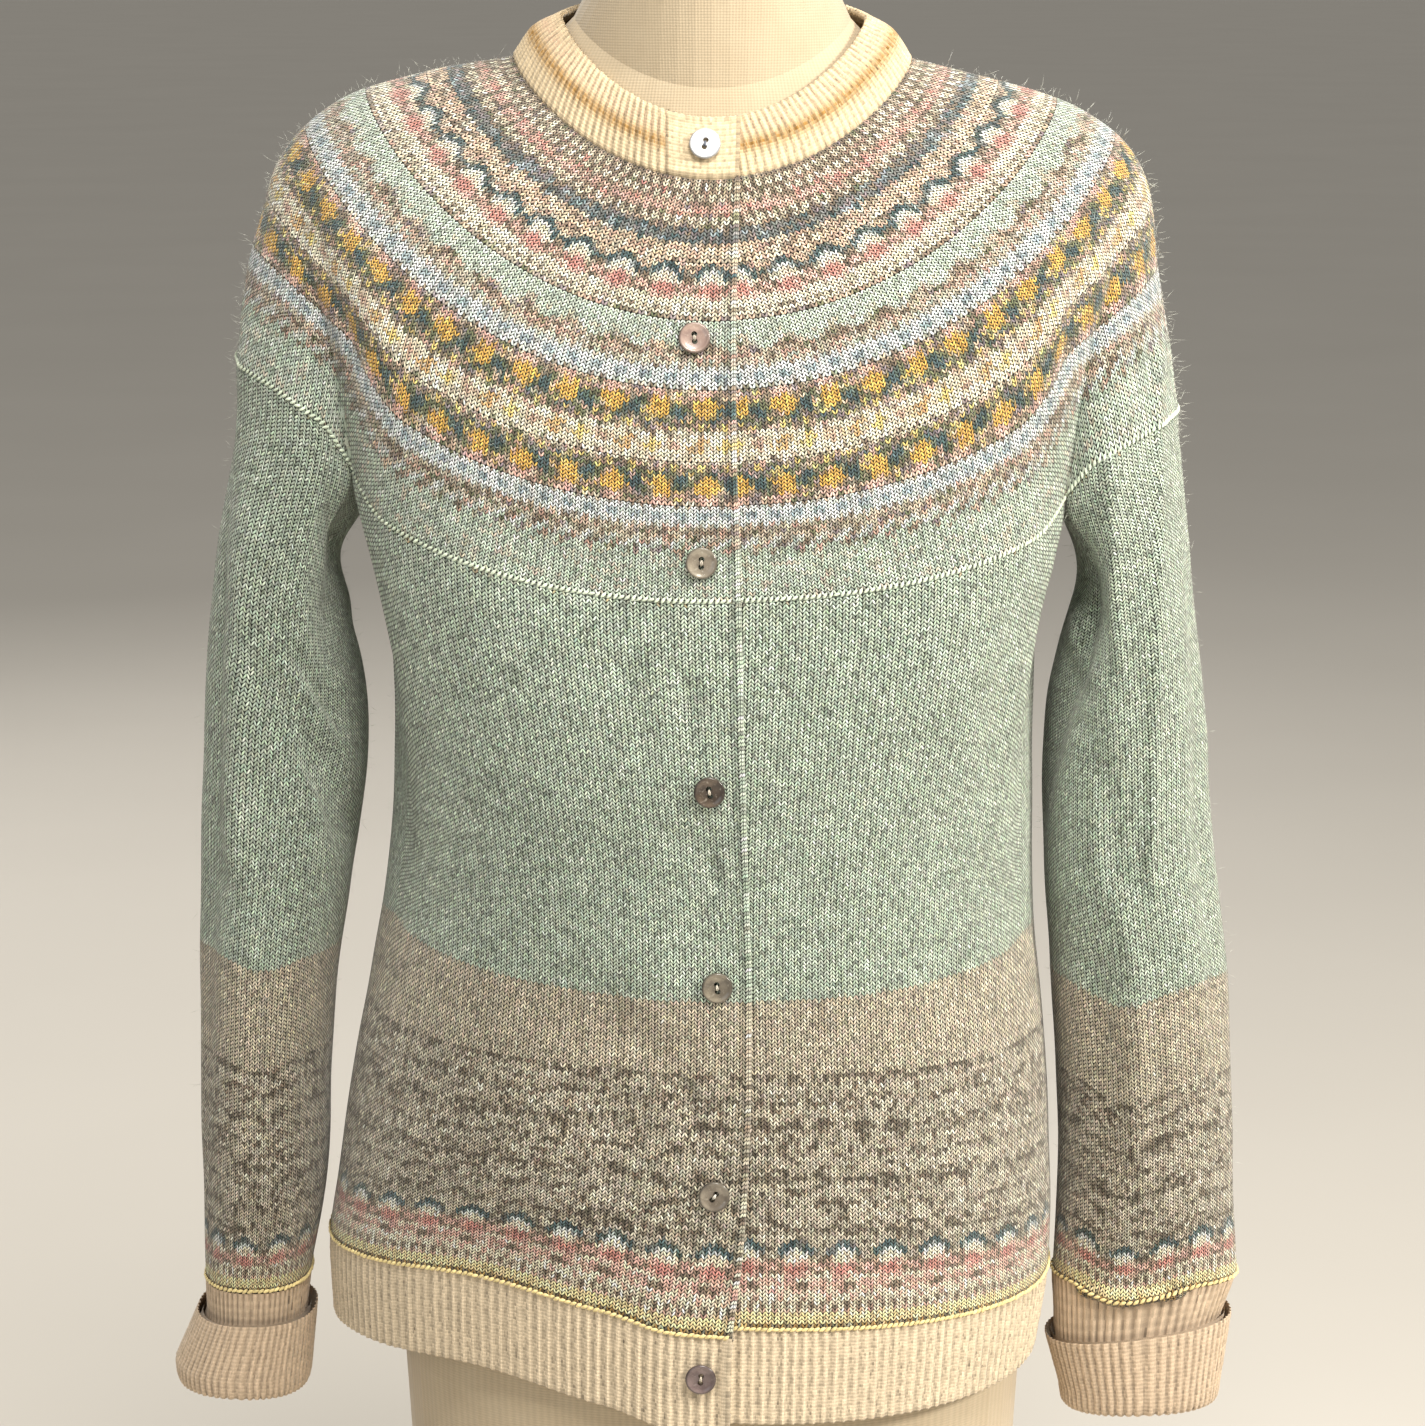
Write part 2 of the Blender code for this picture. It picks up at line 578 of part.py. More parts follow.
def around_lap(start, end, count):
    """Values from end to end of the lap round the neck, closer together at both."""
    even = np.linspace(0.0, 1.0, count)
    return start + (end - start) * (even - LAP_DENSITY * np.sin(2 * np.pi * even) / (2 * np.pi))


def grid_of(point, angles, reaches):
    return point(angles[None, :], reaches[:, None])


def material(name, colour, roughness, metallic=0.0):
    made = bpy.data.materials.new(name)
    made.use_nodes = True
    shader = made.node_tree.nodes["Principled BSDF"]
    shader.inputs["Base Color"].default_value = (*colour, 1.0)
    shader.inputs["Roughness"].default_value = roughness
    shader.inputs["Metallic"].default_value = metallic
    return made


def wear(thing, made):
    thing.data.materials.append(made)


def panel(point, reaches, edge, end_angle, count):
    """A grid whose first column follows an edge of the lap."""
    rows = [point(spread(edge(point, r), end_angle, count, LAP_DENSITY), r) for r in reaches]
    return np.array(rows)


def make_body(knit, rib):
    length = BODY_TOP - HEM
    rib_start = (BODY_TOP - RIB_TOP) / length
    trim = HEM_GAP / 2 / length
    levels = {
        "panel": (spread(RIDGE_GAP / length, rib_start - trim, PANEL_ROWS), KNIT, knit),
        "hem_rib": (spread(rib_start + trim, 1.0, 3), RIB, rib),
    }
    seam = math.degrees(SEAM_GAP / 2 / SIDE_REACH)
    names = {
        "panel": ("front_right", "front_left", "back"),
        "hem_rib": ("hem_rib_right", "hem_rib_left", "hem_rib_back"),
    }
    for part, (reaches, thickness, made) in levels.items():
        right, left, back = names[part]
        grid = panel(body_point, reaches, upper_edge, -180.0 + seam, PANEL_COLUMNS)
        grid = lapped(grid, thickness)
        wear(cloth(right, grid[:, ::-1], thickness), made)
        grid = panel(body_point, reaches, under_edge, -seam, PANEL_COLUMNS)
        wear(cloth(left, grid, thickness), made)
        around = spread(seam, 180.0 - seam, BACK_COLUMNS)
        wear(cloth(back, grid_of(body_point, around, reaches), thickness), made)


def make_yoke(made):
    """One piece all round the neck, from the upper lap edge to the lower one."""
    trim = SEAM_GAP / 2 / YOKE_DEPTH
    rows = []
    for reach in spread(trim, 1.0 - trim, YOKE_ROWS):
        start, end = upper_edge(yoke_point, reach), under_edge(yoke_point, reach) - 360.0
        rows.append(yoke_point(around_lap(start, end, YOKE_STEPS), reach))
    grid = np.array(rows)
    half = YOKE_STEPS // 2
    grid[:, :half] = lapped(grid[:, :half])
    wear(cloth("yoke", grid[:, ::-1], KNIT), made)


def make_sleeves(made):
    for side, name in ((-1, "sleeve_right"), (1, "sleeve_left")):
        length = SLEEVE_TOP - sleeve_table(side)[-1][0]
        trim = SEAM_GAP / 2 / length
        angles = spread(-180.0, 180.0, SLEEVE_STEPS + 1)[:-1]
        down = spread(RIDGE_GAP / length, 1.0 - trim, SLEEVE_ROWS)
        grid = grid_of(lambda a, w, s=side: sleeve_point(s, a, w), angles, down)
        if side < 0:
            grid = grid[:, ::-1]
        wear(cloth(name, grid, KNIT, closed=True), made)


def cuff_ring(side, table, level, grow, lift):
    """A ring of a cuff at one of its levels, moved out by grow and up by lift."""
    row = [r for r in table if r[0] == level][0]
    _, outer_x, inner_x, front_y, back_y, outer_z, inner_z = row
    angles = spread(-180.0, 180.0, SLEEVE_STEPS + 1)[:-1]
    across, along = round_of(angles, SLEEVE_POWER)
    wide = (outer_x - inner_x) / 2 + grow
    x = (outer_x + inner_x) / 2 + wide * across
    deep = np.where(along < 0, -front_y, back_y) + grow
    z = inner_z + (outer_z - inner_z) * (across + 1) / 2 + lift
    return np.stack([side * x, deep * along, z + 0 * x], axis=-1)


def make_cuffs(made):
    """A cuff is one solid whose section runs down, folds and comes up again."""
    turned = RIB + TURN_SLOT
    for side, table, name in ((-1, RIGHT_CUFF, "cuff_right"), (1, LEFT_CUFF, "cuff_left")):
        section = (
            ("top", 0.0, -SEAM_GAP),
            ("edge", -CUFF_TAPER, 0.0),
            ("fold", -turned, FOLD_HEIGHT),
            ("fold", -turned + TURN_SLOT, FOLD_HEIGHT),
            ("edge", TURN_SLOT, 0.0),
            ("edge", turned, 0.0),
            ("fold", 0.0, FOLD_HEIGHT),
            ("fold", -RIB / 2, 0.0),
            ("fold", -turned - RIB / 2, 0.0),
            ("fold", -turned - RIB, FOLD_HEIGHT),
            ("edge", -CUFF_TAPER - RIB, 0.0),
            ("top", -RIB, -SEAM_GAP),
        )
        rings = [cuff_ring(side, table, *place) for place in section]
        mesh = bmesh.new()
        loops = [[mesh.verts.new(point) for point in ring] for ring in rings]
        for i, loop in enumerate(loops):
            after = loops[(i + 1) % len(loops)]
            for j in range(SLEEVE_STEPS):
                k = (j + 1) % SLEEVE_STEPS
                mesh.faces.new((loop[j], loop[k], after[k], after[j]))
        wear(finished(name, mesh), made)


def make_neckband(made):
    """The band runs all round; its upper end at the front is the plain tab."""
    band, tab = [], []
    for reach in spread(0.0, 1.0, NECK_ROWS):
        tab_end = front_angle(neck_point, reach, TAB_EDGE)
        band_start = front_angle(neck_point, reach, TAB_EDGE - TAB_GAP)
        band_end = under_edge(neck_point, reach) - 360.0
        tab_angles = spread(upper_edge(neck_point, reach), tab_end, TAB_STEPS)
        tab.append(lapped(neck_point(tab_angles, reach), NECK_RIB))
        ring = neck_point(around_lap(band_start, band_end, NECK_STEPS), reach)
        half = NECK_STEPS // 2
        ring[:half] = lapped(ring[:half], NECK_RIB)
        band.append(ring)
    wear(cloth("neckband", np.array(band), NECK_RIB), made)
    wear(cloth("neck_tab", np.array(tab), NECK_RIB), made)


def turned_solid(name, profile, steps=ROUND_STEPS):
    """A solid turned about Z from (radius, height) pairs, top to bottom."""
    mesh = bmesh.new()
    rings = []
    for radius, height in profile:
        ring = []
        for turn in range(steps):
            angle = 2 * math.pi * turn / steps
            place = (radius * math.cos(angle), radius * math.sin(angle), height)
            ring.append(mesh.verts.new(place))
        rings.append(ring)
    for upper, lower in zip(rings, rings[1:]):
        for j in range(steps):
            k = (j + 1) % steps
            mesh.faces.new((upper[j], lower[j], lower[k], upper[k]))
    mesh.faces.new(rings[0])
    mesh.faces.new(rings[-1])
    return finished(name, mesh)


def make_form(linen, steel):
    angles = spread(-180.0, 180.0, FORM_STEPS + 1)[:-1]
    rings = []
    for row in FORM:
        side_x, side_z, other_z, front_y, front_z, back_y, back_z, power = row
        across, along = round_of(angles, power)
        deep = np.where(along < 0, -front_y, back_y)
        low = np.where(along < 0, front_z, back_z)
        high = stepped(across, side_z, other_z)
        z = high + (low - high) * np.abs(np.sin(np.radians(angles))) ** DROP_POWER
        rings.append(np.stack([side_x * across, deep * along, z], axis=-1))
    mesh = bmesh.new()
    loops = [[mesh.verts.new(point) for point in ring] for ring in rings]
    for upper, lower in zip(loops, loops[1:]):
        for j in range(FORM_STEPS):
            k = (j + 1) % FORM_STEPS
            mesh.faces.new((upper[j], lower[j], lower[k], upper[k]))
    mesh.faces.new(loops[0])
    mesh.faces.new(loops[-1])
    wear(finished("form_torso", mesh), linen)

    socket_low = FORM_BOTTOM - SEAM_GAP - SOCKET_HEIGHT
    socket = turned_solid(
        "form_socket",
        (
            (SOCKET_RADIUS, FORM_BOTTOM - SEAM_GAP),
            (SOCKET_RADIUS * SOCKET_TAPER, socket_low),
        ),
    )
    wear(socket, steel)
    pole = turned_solid(
        "form_pole",
        ((POLE_RADIUS, socket_low - SEAM_GAP), (POLE_RADIUS, BASE_HEIGHT + SEAM_GAP)),
    )
    wear(pole, steel)
    base = turned_solid(
        "form_base",
        (
            (BASE_RADIUS - BASE_CHAMFER, BASE_HEIGHT),
            (BASE_RADIUS, BASE_HEIGHT - BASE_CHAMFER),
            (BASE_RADIUS, 0.0),
        ),
    )
    wear(base, steel)


def lap_place(piece, down):
    """The point and the outward direction on the front lap where a button lies."""
    point, under = {
        "neckband": (neck_point, NECK_RIB),
        "yoke": (yoke_point, KNIT),
        "body": (body_point, KNIT),
        "hem": (body_point, RIB),
    }[piece]
    angle = front_angle(point, down, lap_x(point(FRONT, down)[2], "button_x"))
    near = angle + BUTTON_ARC * np.array([-1.0, 0.0, 1.0])
    spots = lapped(point(near, down), under)
    along = point(angle, down + BUTTON_SPAN) - point(angle, down - BUTTON_SPAN)
    out = np.cross(spots[2] - spots[0], along)
    out /= np.linalg.norm(out)
    return spots[1], out * -np.sign(out[1])


def make_button(number, piece, down, made):
    """A dished disc with a rim and two holes, flat on the lap."""
    rim = BUTTON_RADIUS - BUTTON_RIM
    face = BUTTON_THICKNESS - BUTTON_DISH
    body = turned_solid(
        f"button_{number}",
        (
            (rim - BUTTON_DISH, face),
            (rim, BUTTON_THICKNESS),
            (BUTTON_RADIUS - BUTTON_DISH, BUTTON_THICKNESS),
            (BUTTON_RADIUS, face),
            (BUTTON_RADIUS - BUTTON_DISH, 0.0),
        ),
        BUTTON_STEPS,
    )
    for side in (-1, 1):
        hole = turned_solid(
            f"button_hole_{number}_{'low' if side < 0 else 'high'}",
            ((HOLE_RADIUS, 2 * BUTTON_THICKNESS), (HOLE_RADIUS, -BUTTON_THICKNESS)),
            HOLE_STEPS,
        )
        hole.location.y = side * HOLE_SPACING / 2
        hole.parent = body
        hole.hide_render = True
        hole.display_type = "WIRE"
        cut = body.modifiers.new("hole", "BOOLEAN")
        cut.operation = "DIFFERENCE"
        cut.object = hole
    spot, out = lap_place(piece, down)
    body.location = Vector(spot + out * BUTTON_GAP)
    body.rotation_mode = "QUATERNION"
    body.rotation_quaternion = Vector(out).to_track_quat("Z", "Y")
    wear(body, made)


def clear_scene():
    for thing in list(bpy.data.objects):
        bpy.data.objects.remove(thing, do_unlink=True)


def main():
    clear_scene()
    sage = material("sage knit", (0.37, 0.45, 0.33), 0.95)
    charted = material("colour-patterned knit", (0.50, 0.42, 0.33), 0.95)
    cream = material("cream ribbing", (0.68, 0.58, 0.40), 0.95)
    shell = material("shell", (0.24, 0.19, 0.16), 0.25)
    linen = material("linen", (0.80, 0.72, 0.52), 0.9)
    steel = material("painted steel", (0.72, 0.70, 0.66), 0.4)
    make_body(sage, cream)
    make_yoke(charted)
    make_sleeves(sage)
    make_cuffs(cream)
    make_neckband(cream)
    for number, (piece, down) in enumerate(BUTTONS, start=1):
        make_button(number, piece, down, shell)
    make_form(linen, steel)


main()
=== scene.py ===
"""The looks of a round-yoke cardigan, buttoned and worn by a limbless dress form.

Every knitted piece is a lattice of V stitches on the surface that its CAD solid has. A
stitch is two leaning quads, and each one carries the colour of its yarn. The tables of
the garment's shape are the CAD model's, in metres; the charts of the bands are written
below, one letter a stitch and one string a row.
"""

import math

import bpy
import numpy as np
from mathutils import Matrix, Vector


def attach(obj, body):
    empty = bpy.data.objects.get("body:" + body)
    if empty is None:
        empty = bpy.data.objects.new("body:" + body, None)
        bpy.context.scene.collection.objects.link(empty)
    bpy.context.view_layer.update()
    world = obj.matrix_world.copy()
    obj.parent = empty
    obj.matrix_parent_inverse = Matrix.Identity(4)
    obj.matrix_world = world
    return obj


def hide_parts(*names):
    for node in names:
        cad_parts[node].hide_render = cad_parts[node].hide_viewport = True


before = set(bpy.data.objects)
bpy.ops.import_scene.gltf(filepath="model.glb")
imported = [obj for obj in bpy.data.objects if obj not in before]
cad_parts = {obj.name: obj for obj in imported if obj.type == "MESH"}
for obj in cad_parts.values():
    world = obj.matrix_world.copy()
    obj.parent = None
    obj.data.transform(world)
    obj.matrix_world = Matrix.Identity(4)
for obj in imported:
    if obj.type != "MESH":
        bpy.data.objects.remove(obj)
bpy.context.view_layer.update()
scene = bpy.context.scene
rng = np.random.default_rng(20)


# ---------------------------------------------------------------- the CAD model's shape
def tabled(names, *rows):
    return {name: np.array([row[i] for row in rows]) for i, name in enumerate(names.split())}


KNIT, RIB, NECK_RIB, LAP_GAP = 0.0018, 0.0024, 0.0026, 0.0004
LAP = tabled(
    "height edge_x button_x",
    (0.268, 0.0060, -0.0055),
    (0.307, 0.0070, -0.0045),
    (0.350, 0.0120, -0.0002),
    (0.400, 0.0150, 0.0010),
    (0.460, 0.0155, 0.0020),
    (0.550, 0.0125, -0.0013),
    (0.630, 0.0108, -0.0040),
    (0.740, 0.0088, -0.0075),
    (0.830, 0.0112, -0.0023),
)
LAP_UNDER_EDGE, LAP_RISE, LAP_SAG, LAP_SAG_FROM = -0.0170, 0.030, 0.004, 0.460
RING = "reach side_x side_z other_x other_z front_y front_z back_y back_z"
YOKE = tabled(
    RING + " crease depth",
    (0.0, 0.0870, 0.8520, 0.0870, 0.8505, -0.0620, 0.8025, 0.0600, 0.8560, 8.0, 0.000),
    (0.2, 0.1250, 0.8450, 0.1250, 0.8410, -0.0750, 0.7680, 0.0780, 0.8240, 10.0, 0.000),
    (0.4, 0.1635, 0.8325, 0.1620, 0.8285, -0.0870, 0.7330, 0.0900, 0.7860, 14.0, 0.000),
    (0.6, 0.1900, 0.8060, 0.1880, 0.8030, -0.0970, 0.6980, 0.0970, 0.7450, 23.0, 0.004),
    (0.8, 0.2005, 0.7660, 0.1968, 0.7540, -0.1040, 0.6640, 0.1000, 0.7040, 36.0, 0.013),
    (1.0, 0.2095, 0.7220, 0.2058, 0.6990, -0.1080, 0.6300, 0.1000, 0.6640, 44.5, 0.027),
)
CREASE_WIDTH, RIDGE_SHAPE_FROM, PAST_FOLD, FOLD_ANGLE = 7.0, 0.45, (0.62, 0.78), 44.5
YOKE_POWER, DROP_POWER, DROP_ON_BODY, DROP_ON_SLEEVE = (2.0, 2.25), 1.6, 1.42, 3.0
BODY = tabled(
    "height side_x other_x front_y back_y side_rise",
    (0.650, 0.1450, 0.1450, -0.1060, 0.0980, 0.0000),
    (0.560, 0.1425, 0.1430, -0.1120, 0.0980, 0.0000),
    (0.480, 0.1480, 0.1450, -0.1090, 0.0960, -0.0010),
    (0.410, 0.1610, 0.1520, -0.1100, 0.1040, -0.0040),
    (0.345, 0.1715, 0.1550, -0.1130, 0.1100, -0.0050),
    (0.307, 0.1755, 0.1540, -0.1145, 0.1115, 0.0035),
    (0.268, 0.1745, 0.1490, -0.1150, 0.1120, 0.0090),
)
BODY_POWER, BODY_TOP, HEM, RIB_TOP = 2.3, 0.640, 0.268, 0.307
HEM_TILT, TILT_DOWN = 0.045, (0.1, 0.8)
SWING_X, SWING_WIDTH, SWING_UP, SWING_IN = -0.105, 0.055, 0.010, 0.008
SWING_DOWN, SWING_FADE = (0.66, 0.9), 0.060
UNDERARM_X, UNDERARM_Z, UNDERARM_ANGLE, EDGE_DOWN = 0.1530, 0.661, 20.0, 0.35
BLEND_UNDER_ARM, BLEND_AT_RIDGE, BLEND_ANGLES = 0.016, 0.100, (12.0, 32.0)
SLEEVE = "height outer_x inner_x front_y back_y"
RIGHT_SLEEVE = tabled(
    SLEEVE,
    (0.690, 0.2130, 0.1600, -0.0500, 0.0480),
    (0.620, 0.2230, 0.1640, -0.0490, 0.0480),
    (0.560, 0.2275, 0.1550, -0.0480, 0.0480),
    (0.505, 0.2305, 0.1600, -0.0460, 0.0470),
    (0.450, 0.2325, 0.1695, -0.0440, 0.0450),
    (0.395, 0.2335, 0.1750, -0.0420, 0.0430),
    (0.340, 0.2335, 0.1780, -0.0390, 0.0400),
    (0.298, 0.2335, 0.1860, -0.0330, 0.0340),
)
LEFT_SLEEVE = tabled(
    SLEEVE,
    (0.690, 0.2060, 0.1560, -0.0500, 0.0480),
    (0.620, 0.2140, 0.1590, -0.0490, 0.0480),
    (0.560, 0.2210, 0.1500, -0.0470, 0.0470),
    (0.505, 0.2255, 0.1490, -0.0440, 0.0450),
    (0.450, 0.2330, 0.1535, -0.0400, 0.0420),
    (0.395, 0.2370, 0.1575, -0.0360, 0.0390),
    (0.340, 0.2395, 0.1590, -0.0310, 0.0350),
    (0.298, 0.2420, 0.1575, -0.0270, 0.0300),
)
SLEEVE_POWER, SLEEVE_TOP, WRIST, OUTER_ARC, SLEEVE_EDGE_DOWN = 2.35, 0.690, 0.298, 130.0, 0.30
SLEEVE_BLEND_OUT, SLEEVE_BLEND_IN, SLEEVE_BLEND_ARC = 0.075, 0.025, (105.0, 150.0)
SLEEVE_MIDDLE, SLEEVE_RADIUS = 0.190, 0.040
# Sleeve, angle, height, half length, half width, depth and lean of its large folds.
FOLDS = (
    (-1, -42.0, 0.560, 0.170, 0.011, 0.0050, -8.0),
    (-1, -115.0, 0.555, 0.045, 0.010, 0.0045, 45.0),
    (-1, 60.0, 0.540, 0.150, 0.012, 0.0045, 10.0),
    (1, -140.0, 0.600, 0.070, 0.012, 0.0095, 30.0),
    (1, -35.0, 0.540, 0.150, 0.010, 0.0040, 6.0),
    (1, 55.0, 0.560, 0.160, 0.012, 0.0045, -10.0),
)
# Each ring of a cuff: outer_x, inner_x, front_y, back_y, outer_z and inner_z.
RIGHT_CUFF = {
    "top": (0.2335, 0.1860, -0.0330, 0.0340, 0.2975, 0.2975),
    "edge": (0.2345, 0.1870, -0.0310, 0.0320, 0.2810, 0.2810),
    "fold": (0.2480, 0.1870, -0.0350, 0.0340, 0.2480, 0.2450),
}
LEFT_CUFF = {
    "top": (0.2415, 0.1575, -0.0265, 0.0295, 0.2975, 0.2975),
    "edge": (0.2365, 0.1580, -0.0255, 0.0275, 0.2790, 0.2670),
    "fold": (0.2350, 0.1620, -0.0275, 0.0280, 0.2370, 0.2340),
}
TURN_SLOT, FOLD_HEIGHT, CUFF_TAPER = 0.0010, 0.0030, 0.0012
NECKBAND = tabled(
    RING,
    (0.0, 0.0863, 0.8532, 0.0863, 0.8516, -0.0614, 0.8041, 0.0594, 0.8574),
    (0.5, 0.0780, 0.8645, 0.0785, 0.8630, -0.0575, 0.8165, 0.0560, 0.8700),
    (1.0, 0.0670, 0.8700, 0.0680, 0.8690, -0.0525, 0.8275, 0.0530, 0.8800),
)
TAB_EDGE, TAB_GAP = -0.0195, 0.0005
BUTTON_GAP, BUTTON_ARC, BUTTON_SPAN = 0.0004, 2.0, 0.04
DISC_STEPS, HOLE_STEPS, THREAD_RADIUS = 48, 20, 0.00024
BUTTON_RADIUS, BUTTON_THICKNESS, HOLE_RADIUS, HOLE_SPACING = 0.0067, 0.0024, 0.0009, 0.0031
FRONT = -90.0
NEAR_FRONT = np.linspace(FRONT - 30.0, FRONT + 30.0, 241)


def smooth(at, knots, values):
    """A smooth curve through a table's column, read at any places."""
    if knots[0] > knots[-1]:
        knots, values = knots[::-1], values[::-1]
    slopes = np.gradient(values, knots)
    at = np.clip(np.asarray(at, float), knots[0], knots[-1])
    low = np.clip(np.searchsorted(knots, at, side="right") - 1, 0, len(knots) - 2)
    span = knots[low + 1] - knots[low]
    part = (at - knots[low]) / span
    start = (1 + 2 * part) * (1 - part) ** 2 * values[low]
    end = part**2 * (3 - 2 * part) * values[low + 1]
    lift = span * part * (1 - part) ** 2 * slopes[low]
    fall = span * part**2 * (part - 1) * slopes[low + 1]
    return start + end + lift + fall


def reader(table, at):
    """Reads a table's columns at places in its first column."""
    knots = next(iter(table.values()))
    return lambda name: smooth(at, knots, table[name])


def floats(*values):
    return np.broadcast_arrays(*(np.asarray(value, float) for value in values))


def wrapped(angle):
    return (np.asarray(angle, float) + 180.0) % 360.0 - 180.0


def from_side(turned):
    return np.minimum(np.abs(turned), 180.0 - np.abs(turned))


def unit(vectors):
    return vectors / np.maximum(np.linalg.norm(vectors, axis=-1, keepdims=True), 1e-12)


def step(low, high, at):
    """0 below low, 1 above high, and a soft rise between."""
    part = np.clip((np.asarray(at, float) - low) / (high - low), 0.0, 1.0)
    return part * part * (3 - 2 * part)


def round_of(angle, power):
    turn = np.radians(angle)
    across, along = np.cos(turn), np.sin(turn)
    across = np.sign(across) * np.abs(across) ** (2 / power)
    along = np.sign(along) * np.abs(along) ** (2 / power)
    return across, along


def stepped(across, side, other):
    return other + (side - other) * (1 - step(-0.3, 0.3, across))


def front_angle(point, reach, x):
    return float(np.interp(x, point(NEAR_FRONT, reach)[:, 0], NEAR_FRONT))


def upper_edge(point, reach):
    return front_angle(point, reach, reader(LAP, point(FRONT, reach)[2])("edge_x"))


def under_edge(point, reach):
    return front_angle(point, reach, LAP_UNDER_EDGE)


def lapped(points, thickness):
    """Lifts the upper layer where it lies over the lower one, and lets it hang lower."""
    over = step(LAP_UNDER_EDGE - LAP_RISE, LAP_UNDER_EDGE, points[..., 0])
    over = np.where(points[..., 1] < 0, over, 0.0)
    raised = points.copy()
    raised[..., 1] -= (thickness + LAP_GAP) * over
    raised[..., 2] -= LAP_SAG * over * (1 - step(HEM, LAP_SAG_FROM, points[..., 2]))
    return raised


def lapped_half(points, share, thickness):
    """Laps the half of a ring that ends in the upper layer."""
    return np.where((share > 0.5)[..., None], lapped(points, thickness), points)


def ring_point(table, angle, reach, power, drop):
    across, along = round_of(angle, power)
    read = reader(table, reach)
    wide = stepped(across, read("side_x"), read("other_x"))
    high = stepped(across, read("side_z"), read("other_z"))
    deep = np.where(along < 0, -read("front_y"), read("back_y"))
    low = np.where(along < 0, read("front_z"), read("back_z"))
    return np.stack([wide * across, deep * along, high + (low - high) * drop], axis=-1)


def yoke_point(angle, reach):
    angle, reach = floats(angle, reach)
    power = YOKE_POWER[0] + (YOKE_POWER[1] - YOKE_POWER[0]) * reach
    sine = np.abs(np.sin(np.radians(angle)))
    at_ridge = step(RIDGE_SHAPE_FROM, 1.0, reach)
    past_fold = step(*PAST_FOLD, sine)
    ridge_drop = sine**DROP_ON_SLEEVE * (1 - past_fold) + sine**DROP_ON_BODY * past_fold
    drop = sine**DROP_POWER * (1 - at_ridge) + ridge_drop * at_ridge
    point = ring_point(YOKE, angle, reach, power, drop)
    read = reader(YOKE, reach)
    turned = np.degrees(np.arcsin(np.clip(sine, 0, 1)))
    inward = read("depth") * np.exp(-np.abs(turned - read("crease")) / CREASE_WIDTH)
    point[..., 1] -= np.sign(point[..., 1]) * inward
    return point


def underarm(side, place):
    front = yoke_point(-FOLD_ANGLE if side > 0 else -180 + FOLD_ANGLE, 1.0)
    back = yoke_point(FOLD_ANGLE if side > 0 else 180 - FOLD_ANGLE, 1.0)
    place = np.asarray(place, float)[..., None]
    ends = front + (back - front) * (place + 1) / 2
    middle = np.array([side * UNDERARM_X, 0.0, UNDERARM_Z])
    return ends + (middle - (front + (back - front) / 2)) * (1 - place**2)


def body_edge(angle):
    turned = wrapped(angle)
    away = from_side(turned)
    share = np.clip((away - UNDERARM_ANGLE) / (90.0 - UNDERARM_ANGLE), 0, 1)
    yoke_side = FOLD_ANGLE + share * (90.0 - FOLD_ANGLE)
    left = np.abs(turned) < 90.0
    yoke_angle = np.where(left, yoke_side, 180.0 - yoke_side) * np.where(turned < 0, -1, 1)
    on_ridge = yoke_point(yoke_angle, 1.0)
    place = np.clip(np.where(turned < 0, -away, away) / UNDERARM_ANGLE, -1, 1)
    under = np.where(left[..., None], underarm(1, place), underarm(-1, place))
    return np.where((away < UNDERARM_ANGLE)[..., None], under, on_ridge)


def body_ring(angle, height):
    across, along = round_of(angle, BODY_POWER)
    read = reader(BODY, height)
    wide = stepped(across, read("side_x"), read("other_x"))
    deep = np.where(along < 0, -read("front_y"), read("back_y"))
    return np.stack([wide * across, deep * along, height + 0 * across], axis=-1)


def body_point(angle, down):
    """A point of the body's outer face: down runs from the ridge (0) to the hem (1)."""
    angle, down = floats(angle, down)
    edge = body_edge(angle)
    level = BODY_TOP + (HEM - BODY_TOP) * down
    height = level + (edge[..., 2] - BODY_TOP) * np.exp(-((down / EDGE_DOWN) ** 2))
    ring = body_ring(angle, height)
    edge_ring = body_ring(angle, edge[..., 2])
    past_arm = step(*BLEND_ANGLES, from_side(wrapped(angle)))
    reach = BLEND_UNDER_ARM + (BLEND_AT_RIDGE - BLEND_UNDER_ARM) * past_arm
    keep = np.exp(-(((BODY_TOP - HEM) * down / reach) ** 2))
    ring[..., :2] += (edge - edge_ring)[..., :2] * keep[..., None]
    across = np.cos(np.radians(angle))
    rise = reader(BODY, level)("side_rise")
    ring[..., 2] += rise * across**2 - HEM_TILT * ring[..., 0] * step(*TILT_DOWN, down)
    swing = np.exp(-(((ring[..., 0] - SWING_X) / SWING_WIDTH) ** 2)) * step(*SWING_DOWN, down)
    swing *= step(0.0, SWING_FADE, -ring[..., 1])
    ring[..., 1] += SWING_IN * swing
    ring[..., 2] += SWING_UP * swing
    return ring


def sleeve_edge(side, angle):
    turned = wrapped(angle)
    share = np.clip(turned / OUTER_ARC, -1, 1) * FOLD_ANGLE
    on_yoke = yoke_point(share if side > 0 else 180.0 - share, 1.0)
    past = np.where(turned > 0, 180.0 - turned, -180.0 - turned) / (180.0 - OUTER_ARC)
    under = underarm(side, np.clip(past, -1, 1))
    return np.where((np.abs(turned) > OUTER_ARC)[..., None], under, on_yoke)


def sleeve_ring(side, angle, height):
    across, along = round_of(angle, SLEEVE_POWER)
    read = reader(RIGHT_SLEEVE if side < 0 else LEFT_SLEEVE, height)
    middle = (read("outer_x") + read("inner_x")) / 2
    wide = (read("outer_x") - read("inner_x")) / 2
    deep = np.where(along < 0, -read("front_y"), read("back_y"))
    return np.stack([side * (middle + wide * across), deep * along, height], axis=-1)


def outward(side, points):
    """The way out of a sleeve, in the plane of its ring."""
    return unit(np.stack([points[..., 0] - side * SLEEVE_MIDDLE, points[..., 1]], axis=-1))


